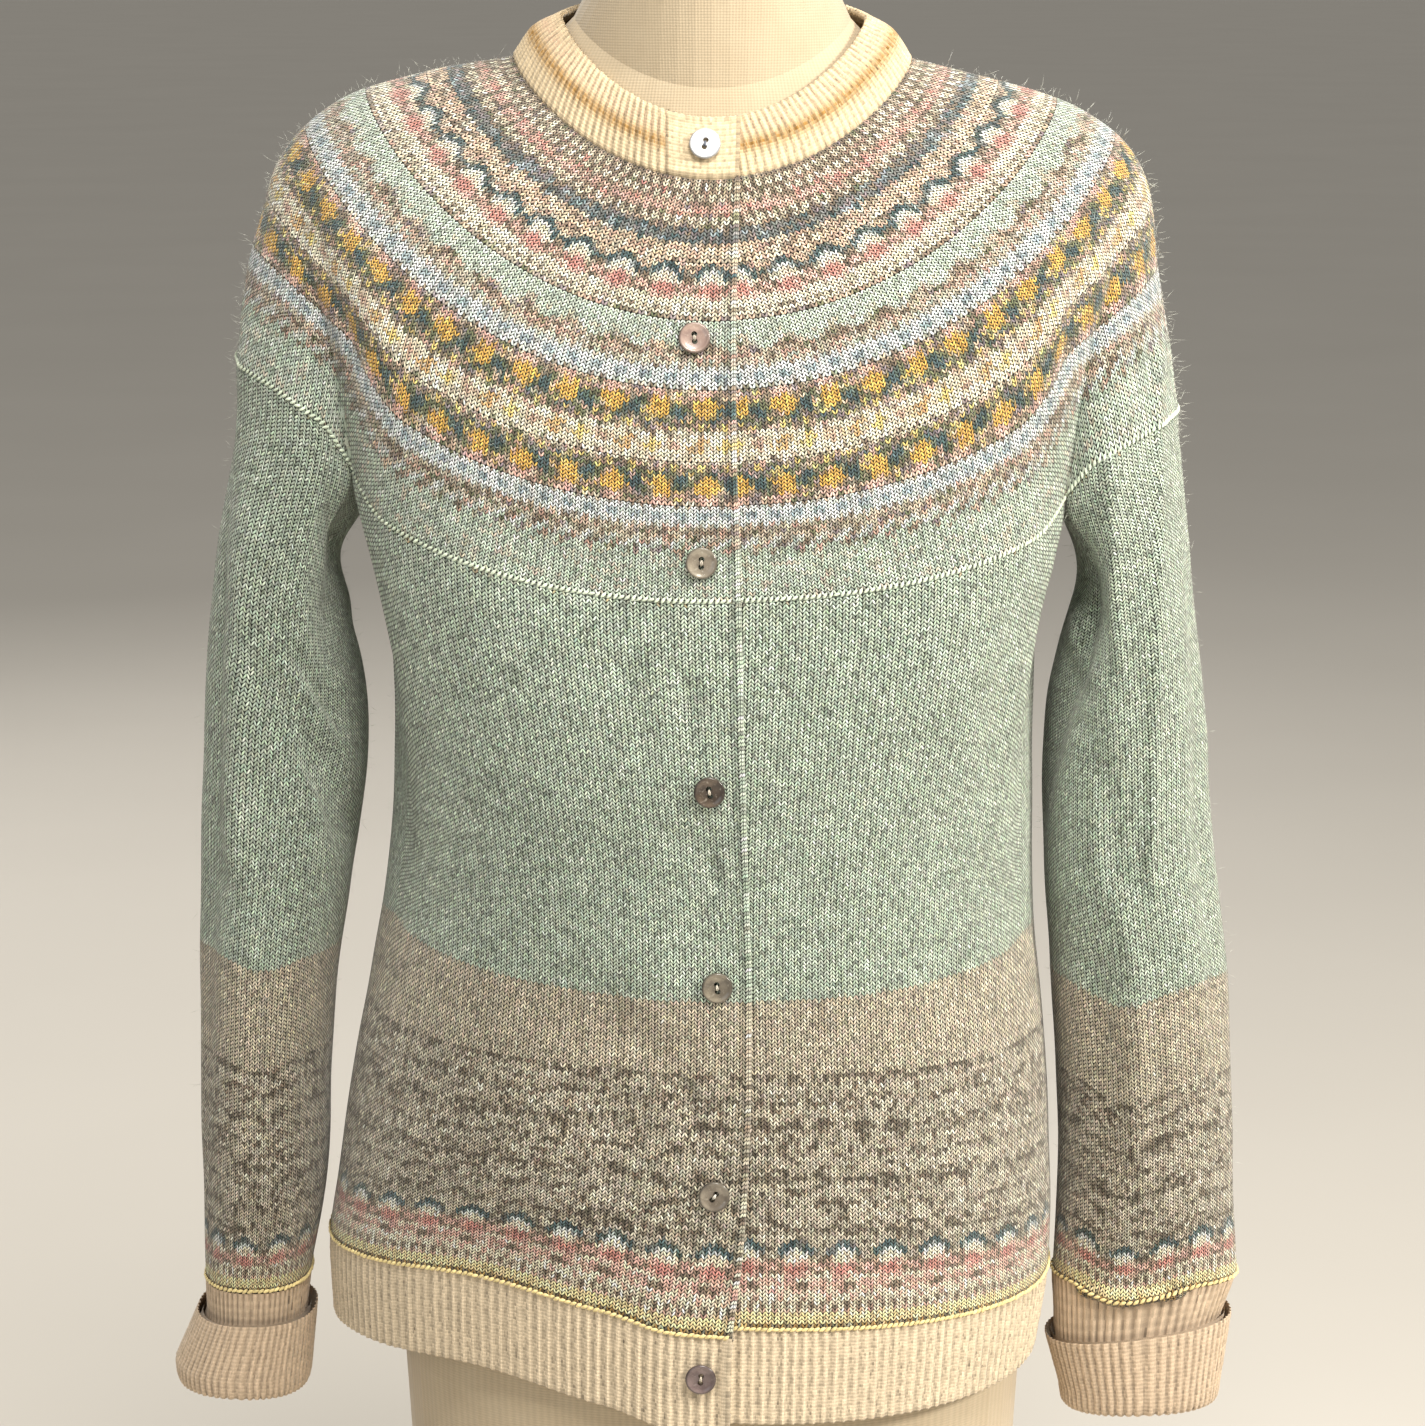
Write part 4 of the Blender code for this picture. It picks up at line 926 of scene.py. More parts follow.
TEXTURE = ("ZzZZXZ", "XZxZXX", "XIXXIX", "IXIIXI", "IIXIIX", "XIxXIZ", "ZXZXXZ", "XXIZXI")
TEXTURE += ("IXIIXI", "XIIXII", "IIXIXI", "XIXXZX", "ZXXZXX")


def body_chart(levels, top, pitch, rows):
    """A chart of plain knit above the bands that start at the heights in levels."""
    taupe, brown, block = (round((top - level) / pitch) for level in levels)
    band = [row.replace("H", "X") for row in ZIGZAG[:3]] + list(PEAKS) + list(PINKS)
    return [
        (0, ["ssss"] * taupe),
        (taupe, ["uuux", "uuiu"] * ((brown - taupe + 1) // 2 + 1)),
        (brown, list(TEXTURE) * ((block - brown) // len(TEXTURE) + 1)),
        (block, band[: rows - block - len(HEM_ENDS)]),
        (rows - len(HEM_ENDS), HEM_ENDS),
    ]


# ---------------------------------------------------------------- materials
def noded(name):
    made = bpy.data.materials.new(name)
    made.use_nodes = True
    return made, Nodes(made.node_tree)


def opaque(red, green, blue):
    return (*linear(red, green, blue), 1.0)


class Nodes:
    """Short words for the nodes that a material needs."""

    def __init__(self, tree):
        self.tree = tree

    def fill(self, node, inputs):
        for name, value in inputs.items():
            self.put(node.inputs[name.replace("_", " ")], value)
        return node

    def new(self, kind, **inputs):
        return self.fill(self.tree.nodes.new(kind), inputs)

    def surface(self, **inputs):
        """Sets inputs of the material's shader, or joins nodes to them."""
        self.fill(self.tree.nodes["Principled BSDF"], inputs)

    def put(self, socket, value):
        if isinstance(value, bpy.types.NodeSocket):
            self.tree.links.new(value, socket)
        else:
            socket.default_value = value

    def math(self, operation, *values, clamp=False):
        node = self.tree.nodes.new("ShaderNodeMath")
        node.operation, node.use_clamp = operation, clamp
        for socket, value in zip(node.inputs, values):
            self.put(socket, value)
        return node.outputs[0]

    def add(self, *values, clamp=False):
        return self.math("ADD", *values, clamp=clamp)

    def times(self, *values, clamp=False):
        return self.math("MULTIPLY", *values, clamp=clamp)

    def sine(self, value):
        return self.math("SINE", value)

    def mix(self, part, first, second, blend="MIX"):
        node = self.tree.nodes.new("ShaderNodeMix")
        node.data_type, node.blend_type = "RGBA", blend
        self.put(node.inputs["Factor"], part)
        self.put(node.inputs["A"], first)
        self.put(node.inputs["B"], second)
        return [out for out in node.outputs if out.type == "RGBA"][0]

    def ramp(self, value, *stops):
        node = self.tree.nodes.new("ShaderNodeValToRGB")
        while len(node.color_ramp.elements) < len(stops):
            node.color_ramp.elements.new(0.5)
        for element, (at, shade) in zip(node.color_ramp.elements, stops):
            element.position, element.color = at, (shade, shade, shade, 1.0)
        self.put(node.inputs[0], value)
        return node.outputs[0]

    def noise(self, scale, detail, vector):
        node = self.new("ShaderNodeTexNoise", Scale=scale, Detail=detail, Vector=vector)
        return node.outputs[0]

    def place(self):
        return self.new("ShaderNodeTexCoord").outputs["Object"]

    def apart(self, vector):
        return self.new("ShaderNodeSeparateXYZ", Vector=vector).outputs

    def yarn(self):
        node = self.tree.nodes.new("ShaderNodeAttribute")
        node.attribute_name = "yarn"
        return node.outputs["Color"]

    def grey(self, shade):
        node = self.tree.nodes.new("ShaderNodeCombineColor")
        for socket in node.inputs:
            self.put(socket, shade)
        return node.outputs[0]

    def bump(self, height, distance, strength):
        node = self.new("ShaderNodeBump", Height=height, Distance=distance, Strength=strength)
        return node.outputs[0]


def fabric(name, kind):
    """Knitted yarn: kind is "legs" for V stitches, "rib" for ribbing, "back" inside."""
    made, n = noded(name)
    uv = n.tree.nodes.new("ShaderNodeUVMap")
    uv.uv_map = "stitch"
    u, v, _ = n.apart(uv.outputs[0])
    place = n.place()
    fibre, soft = n.noise(2600.0, 2.0, place), n.noise(420.0, 3.0, place)
    if kind == "legs":
        # A plump leg along the square's diagonal, with painted shade in the gaps round it
        # and in a notch inside each V.
        away = n.math("SUBTRACT", u, v)
        beside = n.add(n.times(away, 1.80), n.times(n.math("ABSOLUTE", away), 0.30))
        along = n.times(n.math("SUBTRACT", n.add(u, v), 1.0), 0.92)
        far = n.add(n.math("POWER", n.math("ABSOLUTE", beside), 2.0),
                    n.math("POWER", n.math("ABSOLUTE", along), 2.0))
        plump = n.times(n.math("SUBTRACT", 1.0, far), 1.25, clamp=True)
        gap_shade, depth = 0.0, 0.00040
    else:
        # Across the rib u runs from 0 to 1; down it every whole v is a stitch.
        wave, ridge = (n.sine(n.times(at, 2 * math.pi)) for at in (v, u))
        if kind == "rib":
            plump = n.add(n.times(n.add(wave, ridge), 0.25), 0.5, clamp=True)
            gap_shade, depth = 0.78, 0.00022
        else:
            plump = n.add(n.times(n.times(wave, ridge), 0.4), 0.5)
            gap_shade, depth = 0.72, 0.00020
    # The colour falls to gap_shade between legs and ribs: painted shade where the yarn turns
    # in.
    shade = n.add(n.times(plump, 1.0 - gap_shade), gap_shade)
    shade = n.times(shade, n.add(n.times(fibre, 0.60), 0.70))
    shade = n.times(shade, n.add(n.times(soft, 0.12), 0.94))
    height = n.add(plump, n.times(fibre, 0.5))
    n.surface(Base_Color=n.mix(1.0, n.yarn(), n.grey(shade), "MULTIPLY"),
              Normal=n.bump(height, depth, 0.9), Roughness=n.add(n.times(fibre, 0.2), 0.78),
              Specular_IOR_Level=0.18, Sheen_Weight=0.35, Sheen_Roughness=0.45,
              Sheen_Tint=(1.0, 0.97, 0.90, 1.0))
    return made


def shell(name, dark, light, vein):
    """A button of sea shell or horn: soft layers of colour under a gloss."""
    made, n = noded(name)
    place = n.place()
    x, y, _ = n.apart(place)
    swirl = n.noise(160.0, 3.0, place)
    layers = n.add(n.times(y, 420.0), n.times(swirl, 9.0))
    band = n.add(n.times(n.sine(layers), 0.5), 0.5)
    body = n.mix(band, opaque(*dark), opaque(*light))
    streak = n.ramp(n.noise(700.0, 4.0, place), (0.56, 0.0), (0.72, 1.0))
    face = n.mix(n.times(streak, 0.45), body, opaque(*vein))
    out = n.math("SQRT", n.add(n.times(x, x), n.times(y, y)))
    part = n.times(out, 1.0 / BUTTON_RADIUS)
    # The ramp is painted shade: much darker round the disc's edge, a little in its dished
    # middle.
    rim = n.ramp(part, (0.0, 0.88), (0.60, 1.0), (0.84, 0.92), (0.95, 0.42))
    n.surface(Base_Color=n.mix(1.0, face, rim, "MULTIPLY"),
              Roughness=n.add(n.times(swirl, 0.22), 0.16), Normal=n.bump(swirl, 0.00012, 0.5),
              Coat_Weight=0.5, Coat_Roughness=0.12)
    return made


def thread(name, colour):
    made, n = noded(name)
    x, y, z = n.apart(n.place())
    twist = n.sine(n.times(n.add(n.add(x, y), z), 9000.0))
    part = n.add(n.times(twist, 0.5), 0.5)
    pale = linear(*colour)
    n.surface(Base_Color=n.mix(part, (*(pale * 0.6), 1.0), (*pale, 1.0)),
              Normal=n.bump(part, 0.0001, 0.6), Roughness=n.add(n.times(part, 0.1), 0.7))
    return made


def jersey(name):
    """The form's cover: fine cream jersey, its wales running up and its courses round."""
    made, n = noded(name)
    place = n.place()
    x, y, z = n.apart(place)
    turn = n.math("ARCTAN2", x, y)
    bend = n.noise(30.0, 2.0, place)
    wale = n.sine(n.times(turn, 230.0))
    course = n.sine(n.add(n.times(z, 2 * math.pi / 0.0012), n.times(bend, 3.0)))
    weave = n.add(n.times(n.add(wale, course), 0.25), 0.5)
    fibre, slub = n.noise(1800.0, 3.0, place), n.noise(70.0, 3.0, place)
    shade = n.add(n.times(weave, 0.16), 0.80)
    shade = n.times(shade, n.add(n.times(fibre, 0.16), 0.92))
    warm = n.mix(slub, opaque(187, 168, 138), opaque(198, 181, 152))
    height = n.add(weave, n.times(fibre, 0.4))
    n.surface(Base_Color=n.mix(1.0, warm, n.grey(shade), "MULTIPLY"),
              Normal=n.bump(height, 0.00018, 0.7), Roughness=n.add(n.times(fibre, 0.15), 0.8),
              Sheen_Weight=0.25)
    return made


def painted(name):
    made, n = noded(name)
    place = n.place()
    grain = n.noise(900.0, 3.0, place)
    scuff = n.ramp(n.noise(35.0, 4.0, place), (0.45, 0.0), (0.75, 1.0))
    n.surface(Base_Color=n.mix(scuff, opaque(208, 202, 190), opaque(200, 194, 183)),
              Roughness=n.add(n.times(scuff, 0.2), 0.34), Normal=n.bump(grain, 0.0001, 0.3))
    return made


def floor_paint(name):
    made, n = noded(name)
    mottle = n.noise(2.0, 3.0, n.place())
    n.surface(Base_Color=n.mix(mottle, opaque(202, 196, 186), opaque(210, 204, 194)),
              Roughness=0.9)
    return made


def fibres(name):
    made, n = noded(name)
    mottle = n.noise(900.0, 1.0, n.place())
    n.surface(Base_Color=n.mix(mottle, n.yarn(), opaque(206, 210, 196)), Roughness=0.7,
              Specular_IOR_Level=0.2)
    return made


FIBRES = fibres("loose fibres")
LEGS = fabric("knit stitches", "legs")
RIBBING = fabric("ribbing", "rib")
WRONG_SIDE = fabric("wrong side", "back")


# ---------------------------------------------------------------- pieces
LAP_SHINE, LAP_CURL, LAP_CURL_WIDTH = 1.35, 0.0016, 0.0017
# How far round half a yoke and a front go, roughly, for the width of the curl.
YOKE_HALF_ROUND, FRONT_ROUND = 0.75, 0.25
# Rows of each piece, the width of a stitch, and the stitches that all charts fit into.
YOKE_ROWS = sum(len(strings) for strings in YOKE_GROUPS)
BODY_ROWS, SLEEVE_ROWS, HEM_ROWS, NECK_ROWS, CUFF_ROWS = 188, 226, 26, 18, (12, 24)
YOKE_STITCH, STITCH, YOKE_REPEAT, REPEAT = 0.00248, 0.0025, 24, 8
YOKE_DEPTH, TUCKED, RIB_GAP = 0.2, 0.0011, 0.00035
YOKE_SKIN, BODY_SKIN, SLEEVE_SKIN_ROWS = (220, 6), (44, 36), 40
BACK_SIDES = {"left": "tuck", "right": "tuck"}
# The heights where the taupe, the brown and the zigzag bands start.
BODY_BANDS = (0.4584, 0.4250, 0.3510)
SLEEVES = (
    (-1, "sleeve_right", SLEEVE_RIGHT_CREASES, (0.4570, 0.4110, 0.3275), RIGHT_SAG),
    (1, "sleeve_left", SLEEVE_LEFT_CREASES, (0.4430, 0.3985, 0.3275), LEFT_SAG),
)
SEAM_UP, OVER_CUFF, RIB_SWING = 0.0040, 0.0022, 0.03
HEM_YARN, CUFF_YARN, NECK_YARN = (208, 190, 162), (203, 180, 153), (215, 194, 159)
GOLD_STRIPE, PINK_STRIPE = (160, 120, 60), (206, 160, 138)
# How wide one rib is, and how high.
HEM_PERIOD, CUFF_PERIOD, NECK_PERIOD, TAB_PERIOD = 0.0046, 0.0034, 0.0034, 0.0030
RIB_HEIGHT, NECK_HEIGHT = 0.0009, 0.0008


def declare(piece, slot, *nodes):
    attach(piece, "root")
    if nodes:
        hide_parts(*nodes)
    return piece


def lit_edge(colours):
    """Lightens the last legs of the upper layer, where its edge catches the light."""
    colours[:, -1:] = np.clip(colours[:, -1:] * LAP_SHINE, 0.0, BRIGHTEST)
    return colours


def knit(cloth, place, rows, stitches, colours, shape, sides, skin):
    """Adds a piece of V stitches to a cloth, with its edges and its wrong side."""
    points = stitched(place, rows, stitches, shape)
    cloth.grid(*finish_edges(points, colours, stitch_map(stitches, rows), sides))
    skin_inside(cloth, place, rows, KNIT, colours, shape, skin)


def make_yoke():
    cloth = Cloth("knit_yoke")
    trim = SEAM_GAP / YOKE_DEPTH
    shape = crease_shape(YOKE_CREASES)
    first = 0
    for strings in YOKE_GROUPS:
        rows = len(strings)
        low = trim + (1 - 2 * trim) * first / YOKE_ROWS
        high = trim + (1 - 2 * trim) * (first + rows) / YOKE_ROWS
        angle_at = evenly(yoke_point, yoke_edges, low, high, rings=9)
        around = length_round(yoke_point, yoke_edges, (low + high) / 2)
        stitches = round(around / YOKE_STITCH / YOKE_REPEAT) * YOKE_REPEAT

        def place(share, row, low=low, high=high, rows=rows, angle_at=angle_at):
            reach = low + (high - low) * row / rows
            points = yoke_point(angle_at(share, reach), reach)
            over = raised_edge(lapped(points, KNIT), 1 - share, YOKE_HALF_ROUND)
            return np.where((share > 0.5)[..., None], over, points)

        colours = lit_edge(legs_of(charted(rows, stitches, [(0, strings)])))
        sides = {"left": "roll", "right": "roll"}
        if first == 0:
            sides["top"] = "tuck"
        if first + rows == YOKE_ROWS:
            sides["bottom"] = "tuck"
        knit(cloth, place, rows, stitches, colours, shape, sides, YOKE_SKIN)
        first += rows
    piece = cloth.build([LEGS, WRONG_SIDE])
    return declare(piece, "yoke_knit", "yoke")


def make_body():
    made = []
    top = TUCKED / BODY_LENGTH
    bottom = (BODY_TOP - RIB_TOP - SEAM_UP - RIB_GAP) / BODY_LENGTH
    rows = BODY_ROWS
    pitch = (bottom - top) * BODY_LENGTH / rows
    for name, side, creases in (
        ("front_right", "right", FRONT_RIGHT_CREASES),
        ("front_left", "left", FRONT_LEFT_CREASES),
        ("back", "back", BACK_CREASES),
    ):
        edges = BODY_EDGES[side]
        shape = crease_shape(creases)
        angle_at = evenly(body_point, edges, top, bottom)
        stitches = round(length_round(body_point, edges, 0.5) / STITCH / REPEAT) * REPEAT

        def place(share, row, angle_at=angle_at, name=name):
            down = top + (bottom - top) * row / rows
            angle = angle_at(share, down)
            lift = reader(SIDE_LIFT, BODY_TOP - down * BODY_LENGTH)("lift")
            lift = lift * np.cos(np.radians(angle)) ** 2
            points = body_point(angle, down - lift / BODY_LENGTH)
            if name == "front_right":
                points = raised_edge(lapped(points, KNIT), 1 - share, FRONT_ROUND)
            return points

        chart = body_chart(BODY_BANDS, BODY_TOP - top * BODY_LENGTH, pitch, rows)
        colours = legs_of(charted(rows, stitches, chart, from_end=side == "right"))
        if side == "right":
            colours = lit_edge(colours)
        cloth = Cloth(f"knit_{name}")
        sides = {"top": "tuck", "bottom": "tuck"}
        sides.update(BACK_SIDES if side == "back" else {side: "roll"})
        knit(cloth, place, rows, stitches, colours, shape, sides, BODY_SKIN)
        made.append(declare(cloth.build([LEGS, WRONG_SIDE]), "body_knit", name))
    return made


def sagging(side, angle, down, sag):
    """A point of a sleeve whose fabric has slid down in one fold, over the cuff's top."""
    at, width, table = sag
    drop = reader(table, SLEEVE_TOP - down * SLEEVE_LENGTH)("drop")
    down = down + drop * np.exp(-((wrapped(angle - at) / width) ** 2)) / SLEEVE_LENGTH
    points = sleeve_point(side, angle, np.minimum(down, 1.0))
    over = np.maximum(down - 1.0, 0.0) * SLEEVE_LENGTH
    points[..., :2] += outward(side, points) * (OVER_CUFF * step(0.0, 0.003, over))[..., None]
    points[..., 2] -= over
    return points


def make_sleeves():
    made = []
    rows = SLEEVE_ROWS
    top, bottom = TUCKED / SLEEVE_LENGTH, 1.0 - SEAM_GAP / SLEEVE_LENGTH
    pitch = SLEEVE_LENGTH * (bottom - top) / rows
    for side, name, creases, levels, sag in SLEEVES:
        shape = crease_shape(creases)

        def point(angle, down, side=side):
            return sleeve_point(side, angle, down)

        angle_at = evenly(point, sleeve_edges(side), top, bottom)
        around = length_round(point, sleeve_edges(side), 0.5)
        stitches = round(around / STITCH / REPEAT) * REPEAT

        def place(share, row, angle_at=angle_at, side=side, sag=sag):
            down = top + (bottom - top) * row / rows
            return sagging(side, angle_at(share, down), down, sag)

        points = stitched(place, rows, stitches, shape, closed=True)
        chart = body_chart(levels, SLEEVE_TOP - top * SLEEVE_LENGTH, pitch, rows)
        colours = legs_of(charted(rows, stitches, chart))
        cloth = Cloth(f"knit_{name}")
        sides = {"top": "tuck", "bottom": "tuck"}
        maps = stitch_map(stitches, rows)
        face = cloth.grid(*finish_edges(points, colours, maps, sides, KNIT, True), closed=True)
        skin = skin_inside(cloth, place, rows, KNIT, colours, shape,
                           (2 * stitches, SLEEVE_SKIN_ROWS), closed=True, crowding=1.45)
        cloth.rim(skin[0], face[0], colours[0] * 0.9)
        cloth.rim(face[-1], skin[-1], colours[-1] * 0.9)
        made.append(declare(cloth.build([LEGS, WRONG_SIDE]), "sleeve_knit", name))
    return made


def raised_edge(points, from_edge, length):
    """Lifts the last few stitches of the upper layer, whose edge curls out a little."""
    raised = points.copy()
    raised[..., 1] -= LAP_CURL * np.exp(-((from_edge * length / LAP_CURL_WIDTH) ** 2))
    return raised


# Ribs: the height and the painted shade at even steps across one rib, darker in the
# valleys and lighter on the ridges.
HEM_RIB = np.array(
    [(0.00, 0.80), (0.05, 0.82), (0.50, 0.98), (1.00, 1.24), (0.80, 1.12), (0.15, 0.88)])
CUFF_RIB = np.array(
    [(0.00, 0.66), (0.55, 0.92), (0.90, 1.06), (1.00, 1.12), (0.80, 1.04), (0.40, 0.86)])
NECK_RIBS = np.array(
    [(0.00, 0.64), (0.30, 0.88), (0.80, 1.03), (1.00, 1.08), (0.80, 1.03), (0.30, 0.90)])
TAB_RIBS = np.array([(0.30, 0.96), (0.60, 1.00), (0.50, 0.98)])


def ribbed(cloth, place, rows, ribs, height, colour, look, closed=False, thickness=RIB,
           sides=None):
    """A grid of ribbing: colour(share, row) gives its yarn, rows the count of its rows."""
    profile, painted_tones = look.T
    fine = len(profile)
    k = np.arange(ribs * fine if closed else ribs * fine + 1)
    row = np.linspace(0, 1, rows + 1)
    share, level = np.meshgrid(k / (ribs * fine), row)
    swing = np.sin(level * 5 + np.floor(k / fine)[None, :] * 1.3) * RIB_SWING / ribs
    swing *= np.sin(np.pi * np.clip(share, 0, 1)) if not closed else 1.0
    even = share + swing if not closed else (share + swing) % 1.0
    points = place(even, level)
    normals = grid_normals(points, closed)
    lift = profile[k % fine][None, :] * height - height * 0.5
    lift = lift + 0.00006 * rng.standard_normal(points.shape[:2])
    points = points + normals * lift[..., None]
    turns = len(k) if closed else len(k) - 1
    # Painted shade across each rib: dark in its valleys, light on its ridges.
    shade = (painted_tones[k[:turns] % fine] + painted_tones[(k[:turns] + 1) % fine]) / 2
    rough = 0.05 + 0.12 * (1 - profile[k[:turns] % fine])
    middle = (share[:-1, :turns] + 0.5 / (ribs * fine),
              (level[:-1, :turns] + level[1:, :turns]) / 2)
    colours = colour(*middle) * shade[None, :, None]
    speckle = rng.standard_normal(colours.shape[:2] + (1,))
    colours = colours * (1 + rough[None, :, None] * speckle)
    colours *= 1 + 0.04 * rng.standard_normal((1, colours.shape[1], 1))
    u = np.arange(turns) / fine
    v = np.arange(rows, dtype=float)
    corners = np.zeros((rows, turns, 4, 2))
    for c, (du, dv) in enumerate(((0, 0), (0, 1), (1, 1), (1, 0))):
        corners[..., c, 0] = (u + du / fine)[None, :]
        corners[..., c, 1] = (v + dv)[:, None]
    colours = np.clip(colours, 0.0, BRIGHTEST)
    cloth.grid(*finish_edges(points, colours, corners, sides or {}, thickness, closed), closed)
    skin_inside(cloth, place, 1.0, thickness, colours, lambda p, n: np.zeros(p.shape[:2]),
                (max(ribs, 12), 5), closed)


def even_yarn(shown):
    tone = linear(*shown)

    def colour(share, level):
        return np.broadcast_to(tone, share.shape + (3,))

    return colour


def make_hem():
    made = []
    top = (BODY_TOP - RIB_TOP - SEAM_UP + RIB_GAP) / BODY_LENGTH
    for side, edges in BODY_EDGES.items():
        name = f"rib_hem_{side}"
        angle_at = evenly(body_point, edges, top, 1.0, rings=5)
        around = length_round(body_point, edges, 0.95)

        def place(share, level, angle_at=angle_at, name=name):
            down = top + (1.0 - top) * level
            points = body_point(angle_at(share, down), down)
            if name == "rib_hem_right":
                points = raised_edge(lapped(points, RIB), 1 - share, FRONT_ROUND)
            return points

        cloth = Cloth(name)
        sides = {"top": "tuck", "bottom": "roll"}
        sides.update(BACK_SIDES if side == "back" else {side: "roll"})
        ribbed(cloth, place, HEM_ROWS, round(around / HEM_PERIOD), RIB_HEIGHT,
               even_yarn(HEM_YARN), HEM_RIB, sides=sides)
        piece = cloth.build([RIBBING, WRONG_SIDE])
        made.append(declare(piece, "hem_ribbing", f"hem_rib_{side}"))
    return made


def cuff_ring(side, table, level, grow, lift, angles):
    outer_x, inner_x, front_y, back_y, outer_z, inner_z = table[level]
    across, along = round_of(angles, SLEEVE_POWER)
    wide = (outer_x - inner_x) / 2 + grow
    x = (outer_x + inner_x) / 2 + wide * across
    deep = np.where(along < 0, -front_y, back_y) + grow
    z = inner_z + (outer_z - inner_z) * (across + 1) / 2 + lift
    return np.stack([side * x, deep * along, z], axis=-1)


def make_cuffs():
    made = []
    turned = RIB + TURN_SLOT
    for side, table, name in ((-1, RIGHT_CUFF, "cuff_right"), (1, LEFT_CUFF, "cuff_left")):
        section = (
            ("top", 0.0, -0.0003),
            ("edge", -CUFF_TAPER, 0.0),
            ("fold", -turned, FOLD_HEIGHT),
        )
        outside = (
            ("edge", turned - 0.0002, 0.0006),
            ("edge", turned, 0.0),
            ("fold", 0.0006, FOLD_HEIGHT + 0.006),
            ("fold", 0.0, FOLD_HEIGHT),
            ("fold", -RIB / 2, 0.0),
            ("fold", -turned - RIB / 2, 0.0),
            ("fold", -turned - RIB, FOLD_HEIGHT),
        )
        cloth = Cloth(name.replace("cuff", "rib_cuff"))
        for steps, rows in zip((section, outside), CUFF_ROWS):

            def place(share, level, steps=steps, side=side, table=table):
                angles = (share * 360.0 - 180.0) * side
                rings = np.stack([cuff_ring(side, table, *one, angles) for one in steps])
                run = np.linalg.norm(np.diff(rings, axis=0), axis=-1).mean(axis=(1, 2))
                run = np.concatenate([[0.0], np.cumsum(run)])
                at = level * run[-1]
                i = np.clip(np.searchsorted(run, at, side="right") - 1, 0, len(run) - 2)
                part = ((at - run[i]) / (run[i + 1] - run[i]))[..., None]
                grid = np.indices(share.shape)
                low = rings[i, grid[0], grid[1]]
                high = rings[i + 1, grid[0], grid[1]]
                return low + (high - low) * part

            wide = (table["fold"][0] - table["fold"][1]) / 2
            deep = (table["fold"][3] - table["fold"][2]) / 2
            # Ramanujan's length of an ellipse.
            root = math.sqrt((3 * wide + deep) * (wide + 3 * deep))
            around = math.pi * (3 * (wide + deep) - root)
            ribbed(cloth, place, rows, round(around / CUFF_PERIOD), RIB_HEIGHT,
                   even_yarn(CUFF_YARN), CUFF_RIB, closed=True)
        made.append(declare(cloth.build([RIBBING, WRONG_SIDE]), "cuff_ribbing", name))
    return made


def neck_colour(share, level):
    """Cream ribbing with a faded gold stripe round its middle and pink above it."""
    tone = np.broadcast_to(linear(*NECK_YARN), share.shape + (3,)).copy()
    worn = 0.55 + 0.45 * rng.random(share.shape)
    gold = (worn * np.exp(-(((level - 0.53) / 0.13) ** 2)))[..., None]
    pink = (np.exp(-(((level - 0.24) / 0.15) ** 2)) * 0.45 * rng.random(share.shape))[..., None]
    tone = tone * (1 - gold) + linear(*GOLD_STRIPE) * gold
    return tone * (1 - pink) + linear(*PINK_STRIPE) * pink


def tab_colour(share, level):
    """The tab: plain cream in garter rows, with painted shade where its edges turn under."""
    edge = np.minimum(np.minimum(share, 1 - share), np.minimum(level, 1 - level) * 1.1)
    # Painted shade along the edges that turn under.
    rim = 0.42 * np.exp(-((edge / 0.035) ** 2))
    garter = 0.07 * np.sin(level * math.pi * 18)
    return linear(*NECK_YARN) * (1 - rim + garter)[..., None]


def make_neckband():
    made = []

    def band_edges(reach):
        start = front_angle(neck_point, reach, TAB_EDGE - TAB_GAP)
        return under_edge(neck_point, reach) - 360.0, start

    def tab_edges(reach):
        return front_angle(neck_point, reach, TAB_EDGE), upper_edge(neck_point, reach)

    for name, node, edges, period in (
        ("rib_neckband", "neckband", band_edges, NECK_PERIOD),
        ("rib_neck_tab", "neck_tab", tab_edges, TAB_PERIOD),
    ):
        angle_at = evenly(neck_point, edges, 0.0, 1.0, rings=9)
        around = length_round(neck_point, edges, 0.4)

        def place(share, level, angle_at=angle_at, name=name):
            reach = 1.0 - level
            points = neck_point(angle_at(share, reach), reach)
            over = lapped(points, NECK_RIB)
            half = share > 0.5 if name == "rib_neckband" else share > -1
            return np.where(half[..., None], over, points)

        cloth = Cloth(name)
        sides = {"left": "roll", "right": "roll", "top": "roll", "bottom": "tuck"}
        colour, look = (neck_colour, NECK_RIBS)
        if node == "neck_tab":
            colour, look = (tab_colour, TAB_RIBS)
        ribbed(cloth, place, NECK_ROWS, round(around / period), NECK_HEIGHT, colour, look,
               thickness=NECK_RIB, sides=sides)
        made.append(declare(cloth.build([RIBBING, WRONG_SIDE]), "neck_ribbing", node))
    return made


# ---------------------------------------------------------------- beads, buttons, fuzz
def beads(name, centres, along, normals, sizes, colours, slot, lean):
    """A chain of small plump loops: each bead is long, and leans across the chain."""
    segments, rings = 6, 4
    cloth = Cloth(name)
    up = np.cross(normals, along)
    lean = lean * (1 + 0.25 * rng.standard_normal((len(centres), 1)))
    long_way = along * np.cos(lean) + up * np.sin(lean)
    short_way = np.cross(normals, long_way)
    half_long, half_high, half_deep = sizes
    turn = np.linspace(0, 2 * math.pi, segments, endpoint=False)
    at = np.linspace(-0.94, 0.94, rings)
    for centre, a, b, c, colour in zip(centres, long_way, short_way, normals, colours):
        fat = np.sqrt(1 - at**2)[:, None, None]
        ring = np.cos(turn)[None, :, None] * b * half_high
        ring = ring + np.sin(turn)[None, :, None] * c * half_deep
        points = centre + at[:, None, None] * a * half_long + fat * ring
        cloth.grid(points, colour, np.zeros((4, 2)) + 0.5, closed=True)
    return declare(cloth.build([LEGS]), slot)


